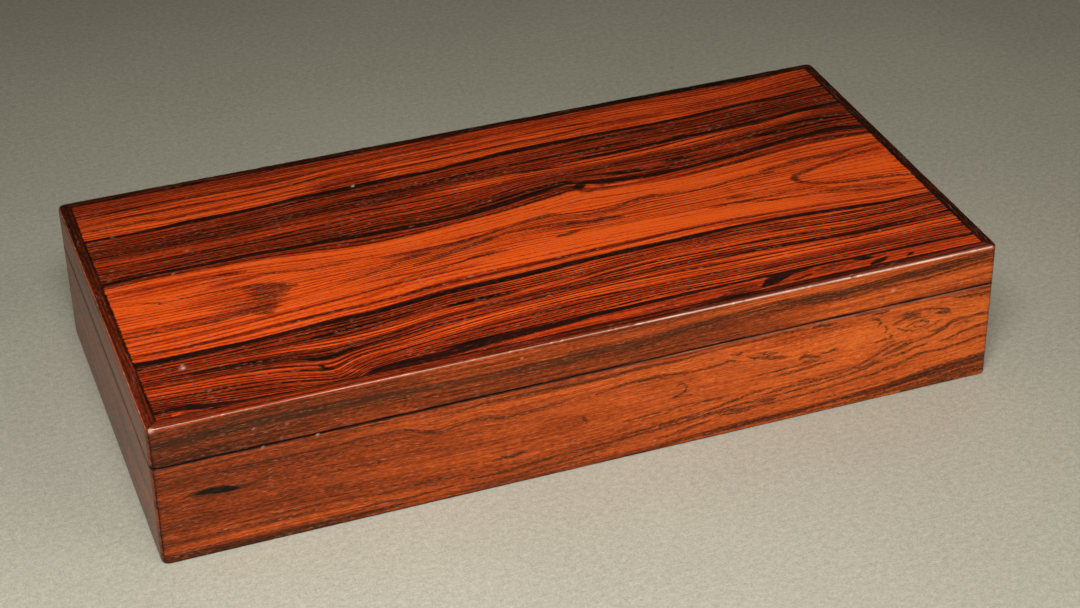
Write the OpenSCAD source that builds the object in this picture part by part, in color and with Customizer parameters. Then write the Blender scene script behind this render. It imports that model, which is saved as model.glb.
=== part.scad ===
// Antique rosewood glove box: a long shallow box with a hinged lid.
// Solid rosewood sides mitred at the corners, a figured panel let in flush into
// the lid, a velvet-lined tray and two brass stop hinges at the back.
// Millimetres. X is the length, -Y the front, +Z up.
// Origin: centre of the underside, on the surface that the box stands on.

/* [Box] */
// Outside length
box_l = 305; // [260:1:330]
// Outside depth, front to back
box_w = 153; // [110:1:170]
// Outside height, lid closed
box_h = 54.5; // [52:0.5:70]
// Height of the joint between base and lid
seam_z = 38.8; // [34:0.1:42]
// Air gap at the joint, lid closed
seam_gap = 0.36; // [0.1:0.02:0.5]
// Thickness of the side boards
wall_t = 6.4; // [6:0.1:8]
// Rounding of the upright corners, seen from above
corner_r = 2.75; // [1:0.25:4]
// Rounding of the lid's outer arrises
edge_r = 1.2; // [0.6:0.1:1.8]
// Rounding at the walls' feet
foot_r = 0.8; // [0.4:0.1:1.5]
// Small chamfer on both sides of the joint
seam_arris = 0.3; // [0.1:0.05:0.5]

/* [Panels] */
// Width of the rim seen round the lid panel
border_w = 4.2; // [3.6:0.1:5]
// Thickness of the figured lid panel
panel_t = 4; // [3:0.25:5]
// Thickness of the bottom board
bottom_t = 4; // [3:0.25:5]
// Thickness of the baize under the bottom board
baize_t = 0.8; // [0.5:0.1:1.5]

/* [Lining] */
// Thickness of the liner slips
slip_t = 2.2; // [1.8:0.1:3]
// How far the slips stand above the rim, to locate the lid
slip_rise = 2.2; // [1.5:0.1:3]
// Side clearance between the slips' proud edge and the lid
slip_clear = 0.45; // [0.3:0.05:0.8]
// Thickness of the velvet-covered cards
card_t = 1.2; // [0.8:0.1:2]
// Thickness of the board under the floor pad
floor_board_t = 1.5; // [1:0.1:2]
// Height of the floor pad
floor_pad_h = 4.5; // [3:0.25:6]
// Thickness of the board behind the lid pad
lid_board_t = 1.2; // [0.8:0.1:2]
// Height of the lid pad
lid_pad_h = 6; // [4:0.25:6.5]
// Radius of a covered button
button_r = 3.2; // [2.5:0.1:4]

/* [Hinges] */
// Length of each hinge
hinge_l = 38; // [30:1:45]
// Distance of each hinge's middle from the box's middle
hinge_x = 96; // [70:1:105]
// Radius of the hinge pin
pin_r = 0.8; // [0.7:0.05:1]
// Radius of the knuckles
knuckle_r = 2; // [1.8:0.1:2.4]
// Thickness of a leaf
leaf_t = 1.1; // [0.9:0.1:1.4]
// Distance of the pin's axis behind the box's back face
pin_out = 0.9; // [0.8:0.1:1.4]
// Angle at which the hinges stop the lid
open_deg = 100; // [92:1:108]
// Length of the middle knuckle
mid_knuckle_l = 13.6; // [10:0.2:16]
// Spacing of the screws in a leaf
screw_dx = 12.5; // [9:0.5:14]

/* [Hidden] */
$fn = 64;

rosewood = [0.52, 0.16, 0.05];
rosewood_rim = [0.27, 0.07, 0.03];
rosewood_panel = [0.62, 0.19, 0.05];
slip_wood = [0.30, 0.10, 0.05];
deal = [0.62, 0.42, 0.24];
velvet = [0.05, 0.14, 0.16];
satin = [0.10, 0.24, 0.27];
board_grey = [0.45, 0.40, 0.32];
baize_green = [0.07, 0.20, 0.11];
brass = [0.72, 0.53, 0.26];

rim_z = seam_z - seam_gap / 2;         // top of the base walls
lid_z = seam_z + seam_gap / 2;         // underside of the lid rails
reb_w = wall_t - border_w;             // width of the rebates
floor_z = bottom_t + baize_t;          // top of the bottom board
ceil_z = box_h - panel_t;              // underside of the lid panel
in_l = box_l - 2 * wall_t;             // inside the walls
in_w = box_w - 2 * wall_t;
tray_l = in_l - 2 * slip_t - 2 * card_t;   // inside the velvet
tray_w = in_w - 2 * slip_t - 2 * card_t;
slip_top = rim_z + slip_rise;
card_top = rim_z - 2.4;
axis_y = box_w / 2 + pin_out;
leaf_in = 5.5;                         // reach of a leaf in front of the pin's axis
screw_y = -3.7;                        // screws, from the pin's axis
screw_head_r = 1.7;
screw_shank_r = 0.9;
screw_len = 8.5;
knuckle_gap = 0.15;
relief_r = knuckle_r + 0.3;
lug_r = knuckle_r + 1.6;               // outer radius of the stops
lug_in = knuckle_r + 0.25;
lug_a = open_deg / 2 + 0.3;            // angle of a stop's face above or below level
pad_l = in_l - 7.4;
pad_w = in_w - 7.4;
pad_z = ceil_z - lid_board_t - lid_pad_h;
button_dx = pad_l / 4;                 // spacing of the buttons along the box
button_dy = pad_w / 4;                 // spacing of the rows of buttons

// ---------- helpers ----------

function arc(c, r, a0, a1, n) =
    [for (i = [0:n]) let (a = a0 + (a1 - a0) * i / n) [c[0] + r * cos(a), c[1] + r * sin(a)]];

function round_rect(l, w, r, n = 8) = concat(
    arc([l / 2 - r, w / 2 - r], r, 0, 90, n),
    arc([-l / 2 + r, w / 2 - r], r, 90, 180, n),
    arc([-l / 2 + r, -w / 2 + r], r, 180, 270, n),
    arc([l / 2 - r, -w / 2 + r], r, 270, 360, n));

// A board of the given section, mitred at both ends. The section's x runs inwards
// from the outer face and its y is height. turn 0 is the front, 180 the back,
// -90 the left and 90 the right.
module board(len, span, section, turn) {
    k = 12;
    rotate([0, 0, turn])
        intersection() {
            translate([-len / 2, -span / 2, 0])
                rotate([90, 0, 90]) linear_extrude(len) polygon(section);
            translate([0, 0, -1])
                linear_extrude(box_h + 2)
                    polygon([[-len / 2, -span / 2], [len / 2, -span / 2],
                             [len / 2 - k, -span / 2 + k], [-len / 2 + k, -span / 2 + k]]);
        }
}

// Takes the upright corners of the box to their rounding.
module rounded_corners() {
    intersection() {
        children();
        translate([0, 0, -1]) linear_extrude(box_h + 2)
            polygon(round_rect(box_l, box_w, corner_r));
    }
}

base_section = concat(
    arc([foot_r, foot_r], foot_r, 180, 270, 5),
    [[border_w, 0], [border_w, floor_z], [wall_t, floor_z], [wall_t, rim_z],
     [seam_arris, rim_z], [0, rim_z - seam_arris]]);

lid_section = concat(
    [[0, lid_z + seam_arris], [seam_arris, lid_z], [wall_t, lid_z],
     [wall_t, ceil_z], [border_w, ceil_z], [border_w, box_h]],
    arc([edge_r, box_h - edge_r], edge_r, 90, 180, 6));

slip_section = concat(
    [[0, floor_z], [slip_t, floor_z]],
    arc([slip_t - 0.6, slip_top - 0.6], 0.6, 0, 90, 4),
    arc([slip_clear + 0.5, slip_top - 0.5], 0.5, 90, 180, 4),
    [[slip_clear, rim_z], [0, rim_z - 0.5]]);

card_section = [[0, floor_z], [card_t, floor_z], [card_t, card_top - 0.4],
                [card_t - 0.4, card_top], [0, card_top]];

// ---------- hinge pieces, drawn about the pin's axis at the origin ----------

// One leaf with its knuckles and its stop. up = 1 is the lid's leaf and -1 the base's.
// The lid's leaf carries the middle knuckle, and the base's the two outer ones.
module hinge_leaf(up) {
    g = seam_gap / 2;
    half = hinge_l / 2;
    m = mid_knuckle_l / 2;
    own = up > 0 ? [[-m, m]] : [[-half, -m - knuckle_gap], [m + knuckle_gap, half]];
    other = up > 0 ? [[-half - 1, -m - 0.001], [m + 0.001, half + 1]]
                   : [[-m - knuckle_gap, m + knuckle_gap]];
    z0 = up > 0 ? g : -g - leaf_t;
    difference() {
        union() {
            // leaf
            difference() {
                translate([-half, -leaf_in, z0]) cube([hinge_l, leaf_in, leaf_t]);
                for (o = other)
                    translate([o[0], 0, 0]) rotate([0, 90, 0])
                        cylinder(r = knuckle_r + 0.2, h = o[1] - o[0]);
            }
            // own knuckles, with the web of the stop
            for (k = own) {
                translate([k[0], 0, 0]) rotate([0, 90, 0])
                    cylinder(r = knuckle_r, h = k[1] - k[0]);
                translate([k[0], 0, 0]) rotate([90, 0, 90])
                    linear_extrude(k[1] - k[0])
                        polygon(concat([[0.2, up * 0.9]], arc([0, 0], lug_r, up * lug_a, up * 90, 6)));
            }
            // stop, over the whole length
            translate([-half, 0, 0]) rotate([90, 0, 90])
                linear_extrude(hinge_l)
                    polygon(concat(arc([0, 0], lug_in, up * 90, up * lug_a, 6),
                                   arc([0, 0], lug_r, up * lug_a, up * 90, 6)));
        }
        // bore for the pin
        translate([-half - 1, 0, 0]) rotate([0, 90, 0])
            cylinder(r = pin_r + (up > 0 ? 0.05 : 0.015), h = hinge_l + 2);
        // countersunk screw holes
        for (i = [-1:1]) translate([i * screw_dx, screw_y, 0]) screw_hole(up);
    }
}

module screw_hole(up) {
    g = seam_gap / 2;
    mirror([0, 0, up > 0 ? 0 : 1]) {
        translate([0, 0, g - 0.01]) cylinder(r = screw_shank_r + 0.05, h = leaf_t + 1);
        translate([0, 0, g - 0.01])
            cylinder(r1 = screw_head_r + 0.06, r2 = screw_shank_r + 0.05, h = 0.85);
    }
}

// A countersunk wood screw with a slotted head. It points up into the lid (up = 1) or down into the base.
module wood_screw(up, slot_turn = 0) {
    g = seam_gap / 2;
    mirror([0, 0, up > 0 ? 0 : 1])
        difference() {
            union() {
                translate([0, 0, g]) cylinder(r1 = screw_head_r, r2 = screw_shank_r, h = 0.8);
                translate([0, 0, g + 0.79]) cylinder(r = screw_shank_r, h = screw_len - 2.8);
                translate([0, 0, g + 0.78 + screw_len - 2.8]) cylinder(r1 = screw_shank_r, r2 = 0.15, h = 2);
            }
            rotate([0, 0, slot_turn]) translate([-2.5, -0.2, g - 0.01]) cube([5, 0.4, 0.46]);
        }
}

module hinge_screws(up) {
    turns = [20, 75, -40, 5, -15, 50];
    for (s = [0:1]) for (i = [-1:1])
        translate([(s == 0 ? -1 : 1) * hinge_x + i * screw_dx, axis_y + screw_y, seam_z])
            wood_screw(up, turns[s * 3 + i + 1]);
}

// The room that a hinge takes in the base's back wall (up = -1) or the lid's back rail (up = 1).
module hinge_housing(up) {
    g = seam_gap / 2;
    z0 = up > 0 ? 0 : -g - leaf_t;
    for (sx = [-1, 1]) translate([sx * hinge_x, axis_y, seam_z]) {
        translate([-hinge_l / 2, -leaf_in, z0]) cube([hinge_l, leaf_in + 2, g + leaf_t]);
        translate([-hinge_l / 2, 0, 0]) rotate([0, 90, 0]) cylinder(r = relief_r, h = hinge_l);
        for (i = [-1:1]) translate([i * screw_dx, screw_y, 0])
            mirror([0, 0, up > 0 ? 0 : 1]) {
                cylinder(r = screw_shank_r + 0.03, h = g + screw_len - 2);
                translate([0, 0, g + screw_len - 2.01]) cylinder(r1 = screw_shank_r + 0.03, r2 = 0.2, h = 2.05);
            }
    }
}

// ---------- base ----------

module base_front_wall() {
    color(rosewood) rounded_corners() board(box_l, box_w, base_section, 0);
}

module base_back_wall() {
    color(rosewood) difference() {
        rounded_corners() board(box_l, box_w, base_section, 180);
        hinge_housing(-1);
    }
}

module base_left_wall() {
    color(rosewood) rounded_corners() board(box_w, box_l, base_section, -90);
}

module base_right_wall() {
    color(rosewood) rounded_corners() board(box_w, box_l, base_section, 90);
}

// Thin softwood board let into the walls' rebates from below.
module base_bottom_board() {
    color(deal) translate([-box_l / 2 + border_w, -box_w / 2 + border_w, baize_t])
        cube([box_l - 2 * border_w, box_w - 2 * border_w, bottom_t]);
}

// Cloth under the bottom board, flush with the walls' feet.
module base_baize() {
    color(baize_green) translate([-box_l / 2 + border_w, -box_w / 2 + border_w, 0])
        cube([box_l - 2 * border_w, box_w - 2 * border_w, baize_t]);
}

// Slips inside the walls. They stand proud of the rim and locate the lid.
module liner_slip_front() { color(slip_wood) board(in_l, in_w, slip_section, 0); }
module liner_slip_back() { color(slip_wood) board(in_l, in_w, slip_section, 180); }
module liner_slip_left() { color(slip_wood) board(in_w, in_l, slip_section, -90); }
module liner_slip_right() { color(slip_wood) board(in_w, in_l, slip_section, 90); }

// Velvet-covered cards inside the slips.
module lining_card(len, span, turn) {
    color(velvet) board(len, span, card_section, turn);
}
module lining_card_front() { lining_card(in_l - 2 * slip_t, in_w - 2 * slip_t, 0); }
module lining_card_back() { lining_card(in_l - 2 * slip_t, in_w - 2 * slip_t, 180); }
module lining_card_left() { lining_card(in_w - 2 * slip_t, in_l - 2 * slip_t, -90); }
module lining_card_right() { lining_card(in_w - 2 * slip_t, in_l - 2 * slip_t, 90); }

module floor_pad_board() {
    color(board_grey) translate([-tray_l / 2 + 0.2, -tray_w / 2 + 0.2, floor_z])
        cube([tray_l - 0.4, tray_w - 0.4, floor_board_t]);
}

// The padded velvet floor, a plain block here.
module floor_pad() {
    color(velvet) translate([0, 0, floor_z + floor_board_t])
        linear_extrude(floor_pad_h) polygon(round_rect(tray_l - 0.4, tray_w - 0.4, 2, 4));
}

module left_hinge_base_leaf() {
    color(brass) translate([-hinge_x, axis_y, seam_z]) hinge_leaf(-1);
}
module right_hinge_base_leaf() {
    color(brass) translate([hinge_x, axis_y, seam_z]) hinge_leaf(-1);
}

module hinge_pin() {
    color(brass) rotate([0, 90, 0]) {
        cylinder(r = pin_r, h = hinge_l - 0.2, center = true);
        for (s = [0, 1]) mirror([0, 0, s])
            translate([0, 0, hinge_l / 2 - 0.11]) cylinder(r1 = pin_r, r2 = pin_r - 0.25, h = 0.3);
    }
}
module left_hinge_pin() { translate([-hinge_x, axis_y, seam_z]) hinge_pin(); }
module right_hinge_pin() { translate([hinge_x, axis_y, seam_z]) hinge_pin(); }

module base_hinge_screws() { color(brass) hinge_screws(-1); }

// ---------- lid ----------

module lid_front_rail() {
    color(rosewood_rim) rounded_corners() board(box_l, box_w, lid_section, 0);
}

module lid_back_rail() {
    color(rosewood_rim) difference() {
        rounded_corners() board(box_l, box_w, lid_section, 180);
        hinge_housing(1);
    }
}

module lid_left_rail() {
    color(rosewood_rim) rounded_corners() board(box_w, box_l, lid_section, -90);
}

module lid_right_rail() {
    color(rosewood_rim) rounded_corners() board(box_w, box_l, lid_section, 90);
}

// The figured panel, flush in the rebate of the four rails.
module lid_top_panel() {
    color(rosewood_panel) translate([-box_l / 2 + border_w, -box_w / 2 + border_w, ceil_z])
        cube([box_l - 2 * border_w, box_w - 2 * border_w, panel_t]);
}

module lid_pad_board() {
    color(board_grey) translate([-in_l / 2 + 0.3, -in_w / 2 + 0.3, ceil_z - lid_board_t])
        cube([in_l - 0.6, in_w - 0.6, lid_board_t]);
}

// Where the buttons sit: three staggered rows.
button_at = concat(
    [for (i = [-1:1]) [i * button_dx, button_dy]],
    [for (i = [-1.5:1:1.5]) [i * button_dx, 0]],
    [for (i = [-1:1]) [i * button_dx, -button_dy]]);

// The tufted satin pad under the lid, a plain block with a dimple at each button here.
module lid_pad() {
    color(satin) difference() {
        translate([0, 0, pad_z]) linear_extrude(lid_pad_h)
            polygon(round_rect(pad_l, pad_w, 3, 4));
        for (p = button_at)
            translate([p[0], p[1], pad_z - 1]) cylinder(r = button_r + 0.6, h = 4.2);
    }
}

module lid_pad_buttons() {
    color(satin) for (p = button_at)
        translate([p[0], p[1], pad_z + 1.4]) {
            translate([0, 0, 0.6]) cylinder(r = button_r, h = 1.2);
            cylinder(r1 = button_r - 0.9, r2 = button_r, h = 0.61);
        }
}

// Silk cord laid round the edge of the pad, hiding where the satin is tucked in.
module lid_pad_cord() {
    color(satin) translate([0, 0, ceil_z - lid_board_t - 2.6])
        linear_extrude(2.6) difference() {
            polygon(round_rect(in_l - 1.2, in_w - 1.2, 3, 6));
            polygon(round_rect(in_l - 6.4, in_w - 6.4, 2, 6));
        }
}

module left_hinge_lid_leaf() {
    color(brass) translate([-hinge_x, axis_y, seam_z]) hinge_leaf(1);
}
module right_hinge_lid_leaf() {
    color(brass) translate([hinge_x, axis_y, seam_z]) hinge_leaf(1);
}

module lid_hinge_screws() { color(brass) hinge_screws(1); }

base_front_wall();
base_back_wall();
base_left_wall();
base_right_wall();
base_bottom_board();
base_baize();
liner_slip_front();
liner_slip_back();
liner_slip_left();
liner_slip_right();
lining_card_front();
lining_card_back();
lining_card_left();
lining_card_right();
floor_pad_board();
floor_pad();
left_hinge_base_leaf();
right_hinge_base_leaf();
left_hinge_pin();
right_hinge_pin();
base_hinge_screws();
lid_front_rail();
lid_back_rail();
lid_left_rail();
lid_right_rail();
lid_top_panel();
lid_pad_board();
lid_pad();
lid_pad_buttons();
lid_pad_cord();
left_hinge_lid_leaf();
right_hinge_lid_leaf();
lid_hinge_screws();
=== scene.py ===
import bpy, bmesh, math
import numpy as np
from mathutils import Vector, Matrix


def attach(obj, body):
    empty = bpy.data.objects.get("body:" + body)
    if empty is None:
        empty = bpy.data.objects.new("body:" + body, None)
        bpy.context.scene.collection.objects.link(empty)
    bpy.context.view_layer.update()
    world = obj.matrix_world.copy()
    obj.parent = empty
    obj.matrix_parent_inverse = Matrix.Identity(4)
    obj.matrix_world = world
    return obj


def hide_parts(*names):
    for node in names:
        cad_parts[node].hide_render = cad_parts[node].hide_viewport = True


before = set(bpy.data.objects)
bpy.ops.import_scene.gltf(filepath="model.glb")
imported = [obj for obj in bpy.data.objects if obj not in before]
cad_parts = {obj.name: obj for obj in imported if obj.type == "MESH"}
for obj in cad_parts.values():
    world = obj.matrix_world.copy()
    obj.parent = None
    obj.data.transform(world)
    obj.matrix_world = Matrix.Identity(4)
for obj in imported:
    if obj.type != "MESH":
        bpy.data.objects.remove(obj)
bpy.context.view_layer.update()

MM = 0.001
# The box, in millimetres. The same numbers drive the frame's solids.
BOX_L, BOX_W, BOX_H = 305.0, 153.0, 54.5
SEAM, GAP = 38.8, 0.36
WALL, BORDER = 6.4, 4.2
CORNER_R, EDGE_R, FOOT_R, ARRIS = 2.75, 1.2, 0.8, 0.3
FLOOR_Z, CEIL_Z = 4.8, 50.5
RIM_Z, LID_Z = SEAM - GAP / 2, SEAM + GAP / 2
AXIS_Y, HINGE_X, HINGE_L = BOX_W / 2 + 0.9, 96.0, 38.0
IN_L, IN_W = BOX_L - 2 * WALL, BOX_W - 2 * WALL

# ------------------------------------------------------------------ helpers

def ease(x, a, b):
    t = np.clip((np.asarray(x, float) - a) / (b - a), 0, 1)
    return t * t * (3 - 2 * t)


def hash2(i, j, seed):
    h = (i * 374761393 + j * 668265263 + seed * 1442695041) & 0xFFFFFFFF
    h = ((h ^ (h >> 13)) * 1274126177) & 0xFFFFFFFF
    return ((h ^ (h >> 16)) & 0xFFFF) / 65535.0


def vnoise(x, y, seed=0):
    """Smooth value noise in [0, 1], for arrays."""
    x = np.asarray(x, float); y = np.asarray(y, float) + 0 * x; x = x + 0 * y
    xi, yi = np.floor(x).astype(np.int64), np.floor(y).astype(np.int64)
    fx, fy = x - xi, y - yi
    fx, fy = fx * fx * (3 - 2 * fx), fy * fy * (3 - 2 * fy)
    a, b = hash2(xi, yi, seed), hash2(xi + 1, yi, seed)
    c, d = hash2(xi, yi + 1, seed), hash2(xi + 1, yi + 1, seed)
    return (a * (1 - fx) + b * fx) * (1 - fy) + (c * (1 - fx) + d * fx) * fy


def make_object(name, verts_mm, faces, smooth_angle=38.0, smooth=True):
    me = bpy.data.meshes.new(name)
    me.from_pydata((np.asarray(verts_mm, float) * MM).tolist(), [], faces)
    me.validate()
    me.update()
    if smooth:
        me.shade_smooth()
        me.set_sharp_from_angle(angle=math.radians(smooth_angle))
    ob = bpy.data.objects.new(name, me)
    bpy.context.scene.collection.objects.link(ob)
    return ob


def recalc_normals(ob):
    bm = bmesh.new(); bm.from_mesh(ob.data)
    bmesh.ops.recalc_face_normals(bm, faces=bm.faces)
    bm.to_mesh(ob.data); bm.free()
    ob.data.update()


def coords_mm(ob):
    me = ob.data
    co = np.empty(len(me.vertices) * 3)
    me.vertices.foreach_get("co", co)
    return co.reshape(-1, 3) / MM


def put_vec(ob, name, arr):
    me = ob.data
    a = me.attributes.get(name) or me.attributes.new(name, "FLOAT_VECTOR", "POINT")
    a.data.foreach_set("vector", np.ascontiguousarray(arr, np.float32).ravel())


def apply_mods(ob):
    dg = bpy.context.evaluated_depsgraph_get()
    me = bpy.data.meshes.new_from_object(ob.evaluated_get(dg), preserve_all_data_layers=True, depsgraph=dg)
    old = ob.data
    ob.modifiers.clear()
    ob.data = me
    me.name = ob.name
    bpy.data.meshes.remove(old)


# ------------------------------------------------------------------ node nets

class Net:
    """Short hands for one material's nodes."""

    def __init__(self, name):
        self.mat = bpy.data.materials.new(name)
        self.mat.use_nodes = True
        self.t = self.mat.node_tree
        self.t.nodes.clear()
        self.out = self.t.nodes.new("ShaderNodeOutputMaterial")

    def put(self, sock, v):
        if isinstance(v, bpy.types.NodeSocket):
            self.t.links.new(v, sock)
        elif v is not None:
            if hasattr(sock.default_value, "__len__") and not hasattr(v, "__len__"):
                v = (v,) * len(sock.default_value)
            if hasattr(v, "__len__") and len(v) == 3 and len(sock.default_value) == 4:
                v = (*v, 1.0)
            sock.default_value = v

    def m(self, op, a, b=None, c=None, clamp=False):
        n = self.t.nodes.new("ShaderNodeMath"); n.operation = op; n.use_clamp = clamp
        for i, v in enumerate((a, b, c)):
            if v is not None:
                self.put(n.inputs[i], v)
        return n.outputs[0]

    def attr(self, name):
        n = self.t.nodes.new("ShaderNodeAttribute"); n.attribute_name = name
        return n.outputs["Vector"]

    def obj(self):
        return self.t.nodes.new("ShaderNodeTexCoord").outputs["Object"]

    def sep(self, v):
        n = self.t.nodes.new("ShaderNodeSeparateXYZ"); self.put(n.inputs[0], v)
        return n.outputs[0], n.outputs[1], n.outputs[2]

    def vec(self, x=0.0, y=0.0, z=0.0):
        n = self.t.nodes.new("ShaderNodeCombineXYZ")
        for i, v in enumerate((x, y, z)):
            self.put(n.inputs[i], v)
        return n.outputs[0]

    def scale(self, v, by):
        n = self.t.nodes.new("ShaderNodeVectorMath"); n.operation = "MULTIPLY"
        self.put(n.inputs[0], v); self.put(n.inputs[1], by)
        return n.outputs[0]

    def add(self, v, w):
        n = self.t.nodes.new("ShaderNodeVectorMath"); n.operation = "ADD"
        self.put(n.inputs[0], v); self.put(n.inputs[1], w)
        return n.outputs[0]

    def noise(self, v, scale=1.0, detail=2.0, rough=0.5, dist=0.0):
        n = self.t.nodes.new("ShaderNodeTexNoise")
        self.put(n.inputs["Vector"], v)
        n.inputs["Scale"].default_value = scale
        n.inputs["Detail"].default_value = detail
        n.inputs["Roughness"].default_value = rough
        n.inputs["Distortion"].default_value = dist
        return n.outputs[0]

    def voronoi(self, v, scale=1.0, feature="F1"):
        n = self.t.nodes.new("ShaderNodeTexVoronoi"); n.feature = feature
        self.put(n.inputs["Vector"], v)
        n.inputs["Scale"].default_value = scale
        return n

    def wave(self, v, scale=1.0, dist=0.0, direction="X", detail=0.0, dscale=1.0):
        n = self.t.nodes.new("ShaderNodeTexWave")
        n.bands_direction = direction
        self.put(n.inputs["Vector"], v)
        n.inputs["Scale"].default_value = scale
        n.inputs["Distortion"].default_value = dist
        n.inputs["Detail"].default_value = detail
        n.inputs["Detail Scale"].default_value = dscale
        return n.outputs["Fac"]

    def ramp(self, fac, stops, interp="LINEAR"):
        n = self.t.nodes.new("ShaderNodeValToRGB"); self.put(n.inputs[0], fac)
        r = n.color_ramp; r.interpolation = interp
        while len(r.elements) < len(stops):
            r.elements.new(0.5)
        for e, (p, c) in zip(r.elements, stops):
            e.position = p
            e.color = (*c, 1.0) if len(c) == 3 else c
        return n.outputs[0]

    def rng(self, x, a, b, c=0.0, d=1.0, smooth=True):
        n = self.t.nodes.new("ShaderNodeMapRange")
        n.interpolation_type = "SMOOTHSTEP" if smooth else "LINEAR"
        self.put(n.inputs["Value"], x)
        for k, v in (("From Min", a), ("From Max", b), ("To Min", c), ("To Max", d)):
            self.put(n.inputs[k], v)
        return n.outputs[0]

    def mix(self, fac, a, b, mode="MIX"):
        n = self.t.nodes.new("ShaderNodeMix"); n.data_type = "RGBA"; n.blend_type = mode
        self.put(n.inputs[0], fac)
        self.put(n.inputs[6], a); self.put(n.inputs[7], b)
        return n.outputs[2]

    def bump(self, height, strength=0.5, distance=0.0001, normal=None):
        n = self.t.nodes.new("ShaderNodeBump")
        n.inputs["Strength"].default_value = strength
        n.inputs["Distance"].default_value = distance
        self.put(n.inputs["Height"], height)
        if normal is not None:
            self.put(n.inputs["Normal"], normal)
        return n.outputs[0]

    def finish(self, **k):
        b = self.t.nodes.new("ShaderNodeBsdfPrincipled")
        for key, v in k.items():
            self.put(b.inputs[key.replace("_", " ")], v)
        self.t.links.new(b.outputs[0], self.out.inputs[0])
        return self.mat


# ------------------------------------------------------------------ figure of the wood

class Figure:
    """The drawn figure of one board: grain lines that guide the stripes, bands of tone, and black and brown marks.
    Coordinates are millimetres along the grain (u) and across it (v)."""

    def __init__(self, lines, bands, black=(), brown=(), soft=(), base=(0.6, 0.5), smooth=3.0, seed=1):
        self.grid = np.arange(-190.0, 190.5, 1.0)
        k = np.exp(-0.5 * (np.arange(-12, 13) / smooth) ** 2); k /= k.sum()
        rows = []
        for s, pts in lines:
            p = np.array(pts, float)
            y = np.interp(self.grid, p[:, 0], p[:, 1])
            y = np.convolve(np.pad(y, 12, mode="edge"), k, "valid")
            rows.append((s, y))
        rows.sort(key=lambda r: r[0])
        self.S = np.array([r[0] for r in rows])
        self.Y = np.maximum.accumulate(np.array([r[1] for r in rows]) + 1e-3 * np.arange(len(rows))[:, None], axis=0)
        self.bands, self.black, self.brown, self.soft = bands, black, brown, soft
        self.base, self.seed = base, seed

    def level(self, u, v):
        Y = np.array([np.interp(u, self.grid, row) for row in self.Y])
        i = np.clip((Y <= v).sum(0) - 1, 0, len(self.S) - 2)
        n = np.arange(len(u))
        y0, y1 = Y[i, n], Y[i + 1, n]
        return self.S[i] + (v - y0) / np.maximum(y1 - y0, 0.05) * (self.S[i + 1] - self.S[i])

    @staticmethod
    def potential(u, v, strokes):
        out = np.full(len(u), -9.0)
        for st in strokes:
            p = np.array(st, float)
            for a, b in zip(p[:-1], p[1:]):
                reach = max(a[2], b[2]) + 9.0
                near = ((u > min(a[0], b[0]) - reach) & (u < max(a[0], b[0]) + reach)
                        & (v > min(a[1], b[1]) - reach) & (v < max(a[1], b[1]) + reach))
                if not near.any():
                    continue
                uu, vv = u[near], v[near]
                d = b[:2] - a[:2]
                t = np.clip(((uu - a[0]) * d[0] + (vv - a[1]) * d[1]) / max(d @ d, 1e-9), 0, 1)
                dist = np.hypot(uu - a[0] - t * d[0], vv - a[1] - t * d[1])
                out[near] = np.maximum(out[near], a[2] + t * (b[2] - a[2]) - dist)
        return out

    def paint(self, ob, u, v, w, black=None, wear_and_highlight=None, dim=None):
        """Writes the attributes that the rosewood material reads."""
        s = self.level(u, v)
        tone = np.full(len(u), float(self.base[0]))
        con = np.full(len(u), float(self.base[1]))
        for (s0, s1, t, c, x0, x1, fs, fx) in self.bands:
            k = ease(s, s0 - fs, s0 + fs) * (1 - ease(s, s1 - fs, s1 + fs))
            k *= ease(u, x0 - fx, x0 + fx) * (1 - ease(u, x1 - fx, x1 + fx))
            tone += (t - tone) * k
            con += (c - con) * k
        for st, amount, width in self.soft:
            q = self.potential(u, v, [st])
            tone += amount * ease(q, -width, width)
        if dim is not None:
            tone += dim
        bk = self.potential(u, v, self.black)
        if black is not None:
            bk = np.maximum(bk, black)
        br = self.potential(u, v, self.brown)
        put_vec(ob, "fig", np.stack([u, s, w], 1))
        put_vec(ob, "mark", np.stack([np.clip(bk, -9, 9), np.clip(br, -9, 9), np.zeros(len(u)) if wear_and_highlight is None else wear_and_highlight], 1))
        put_vec(ob, "tone", np.stack([tone, con, v], 1))


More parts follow.
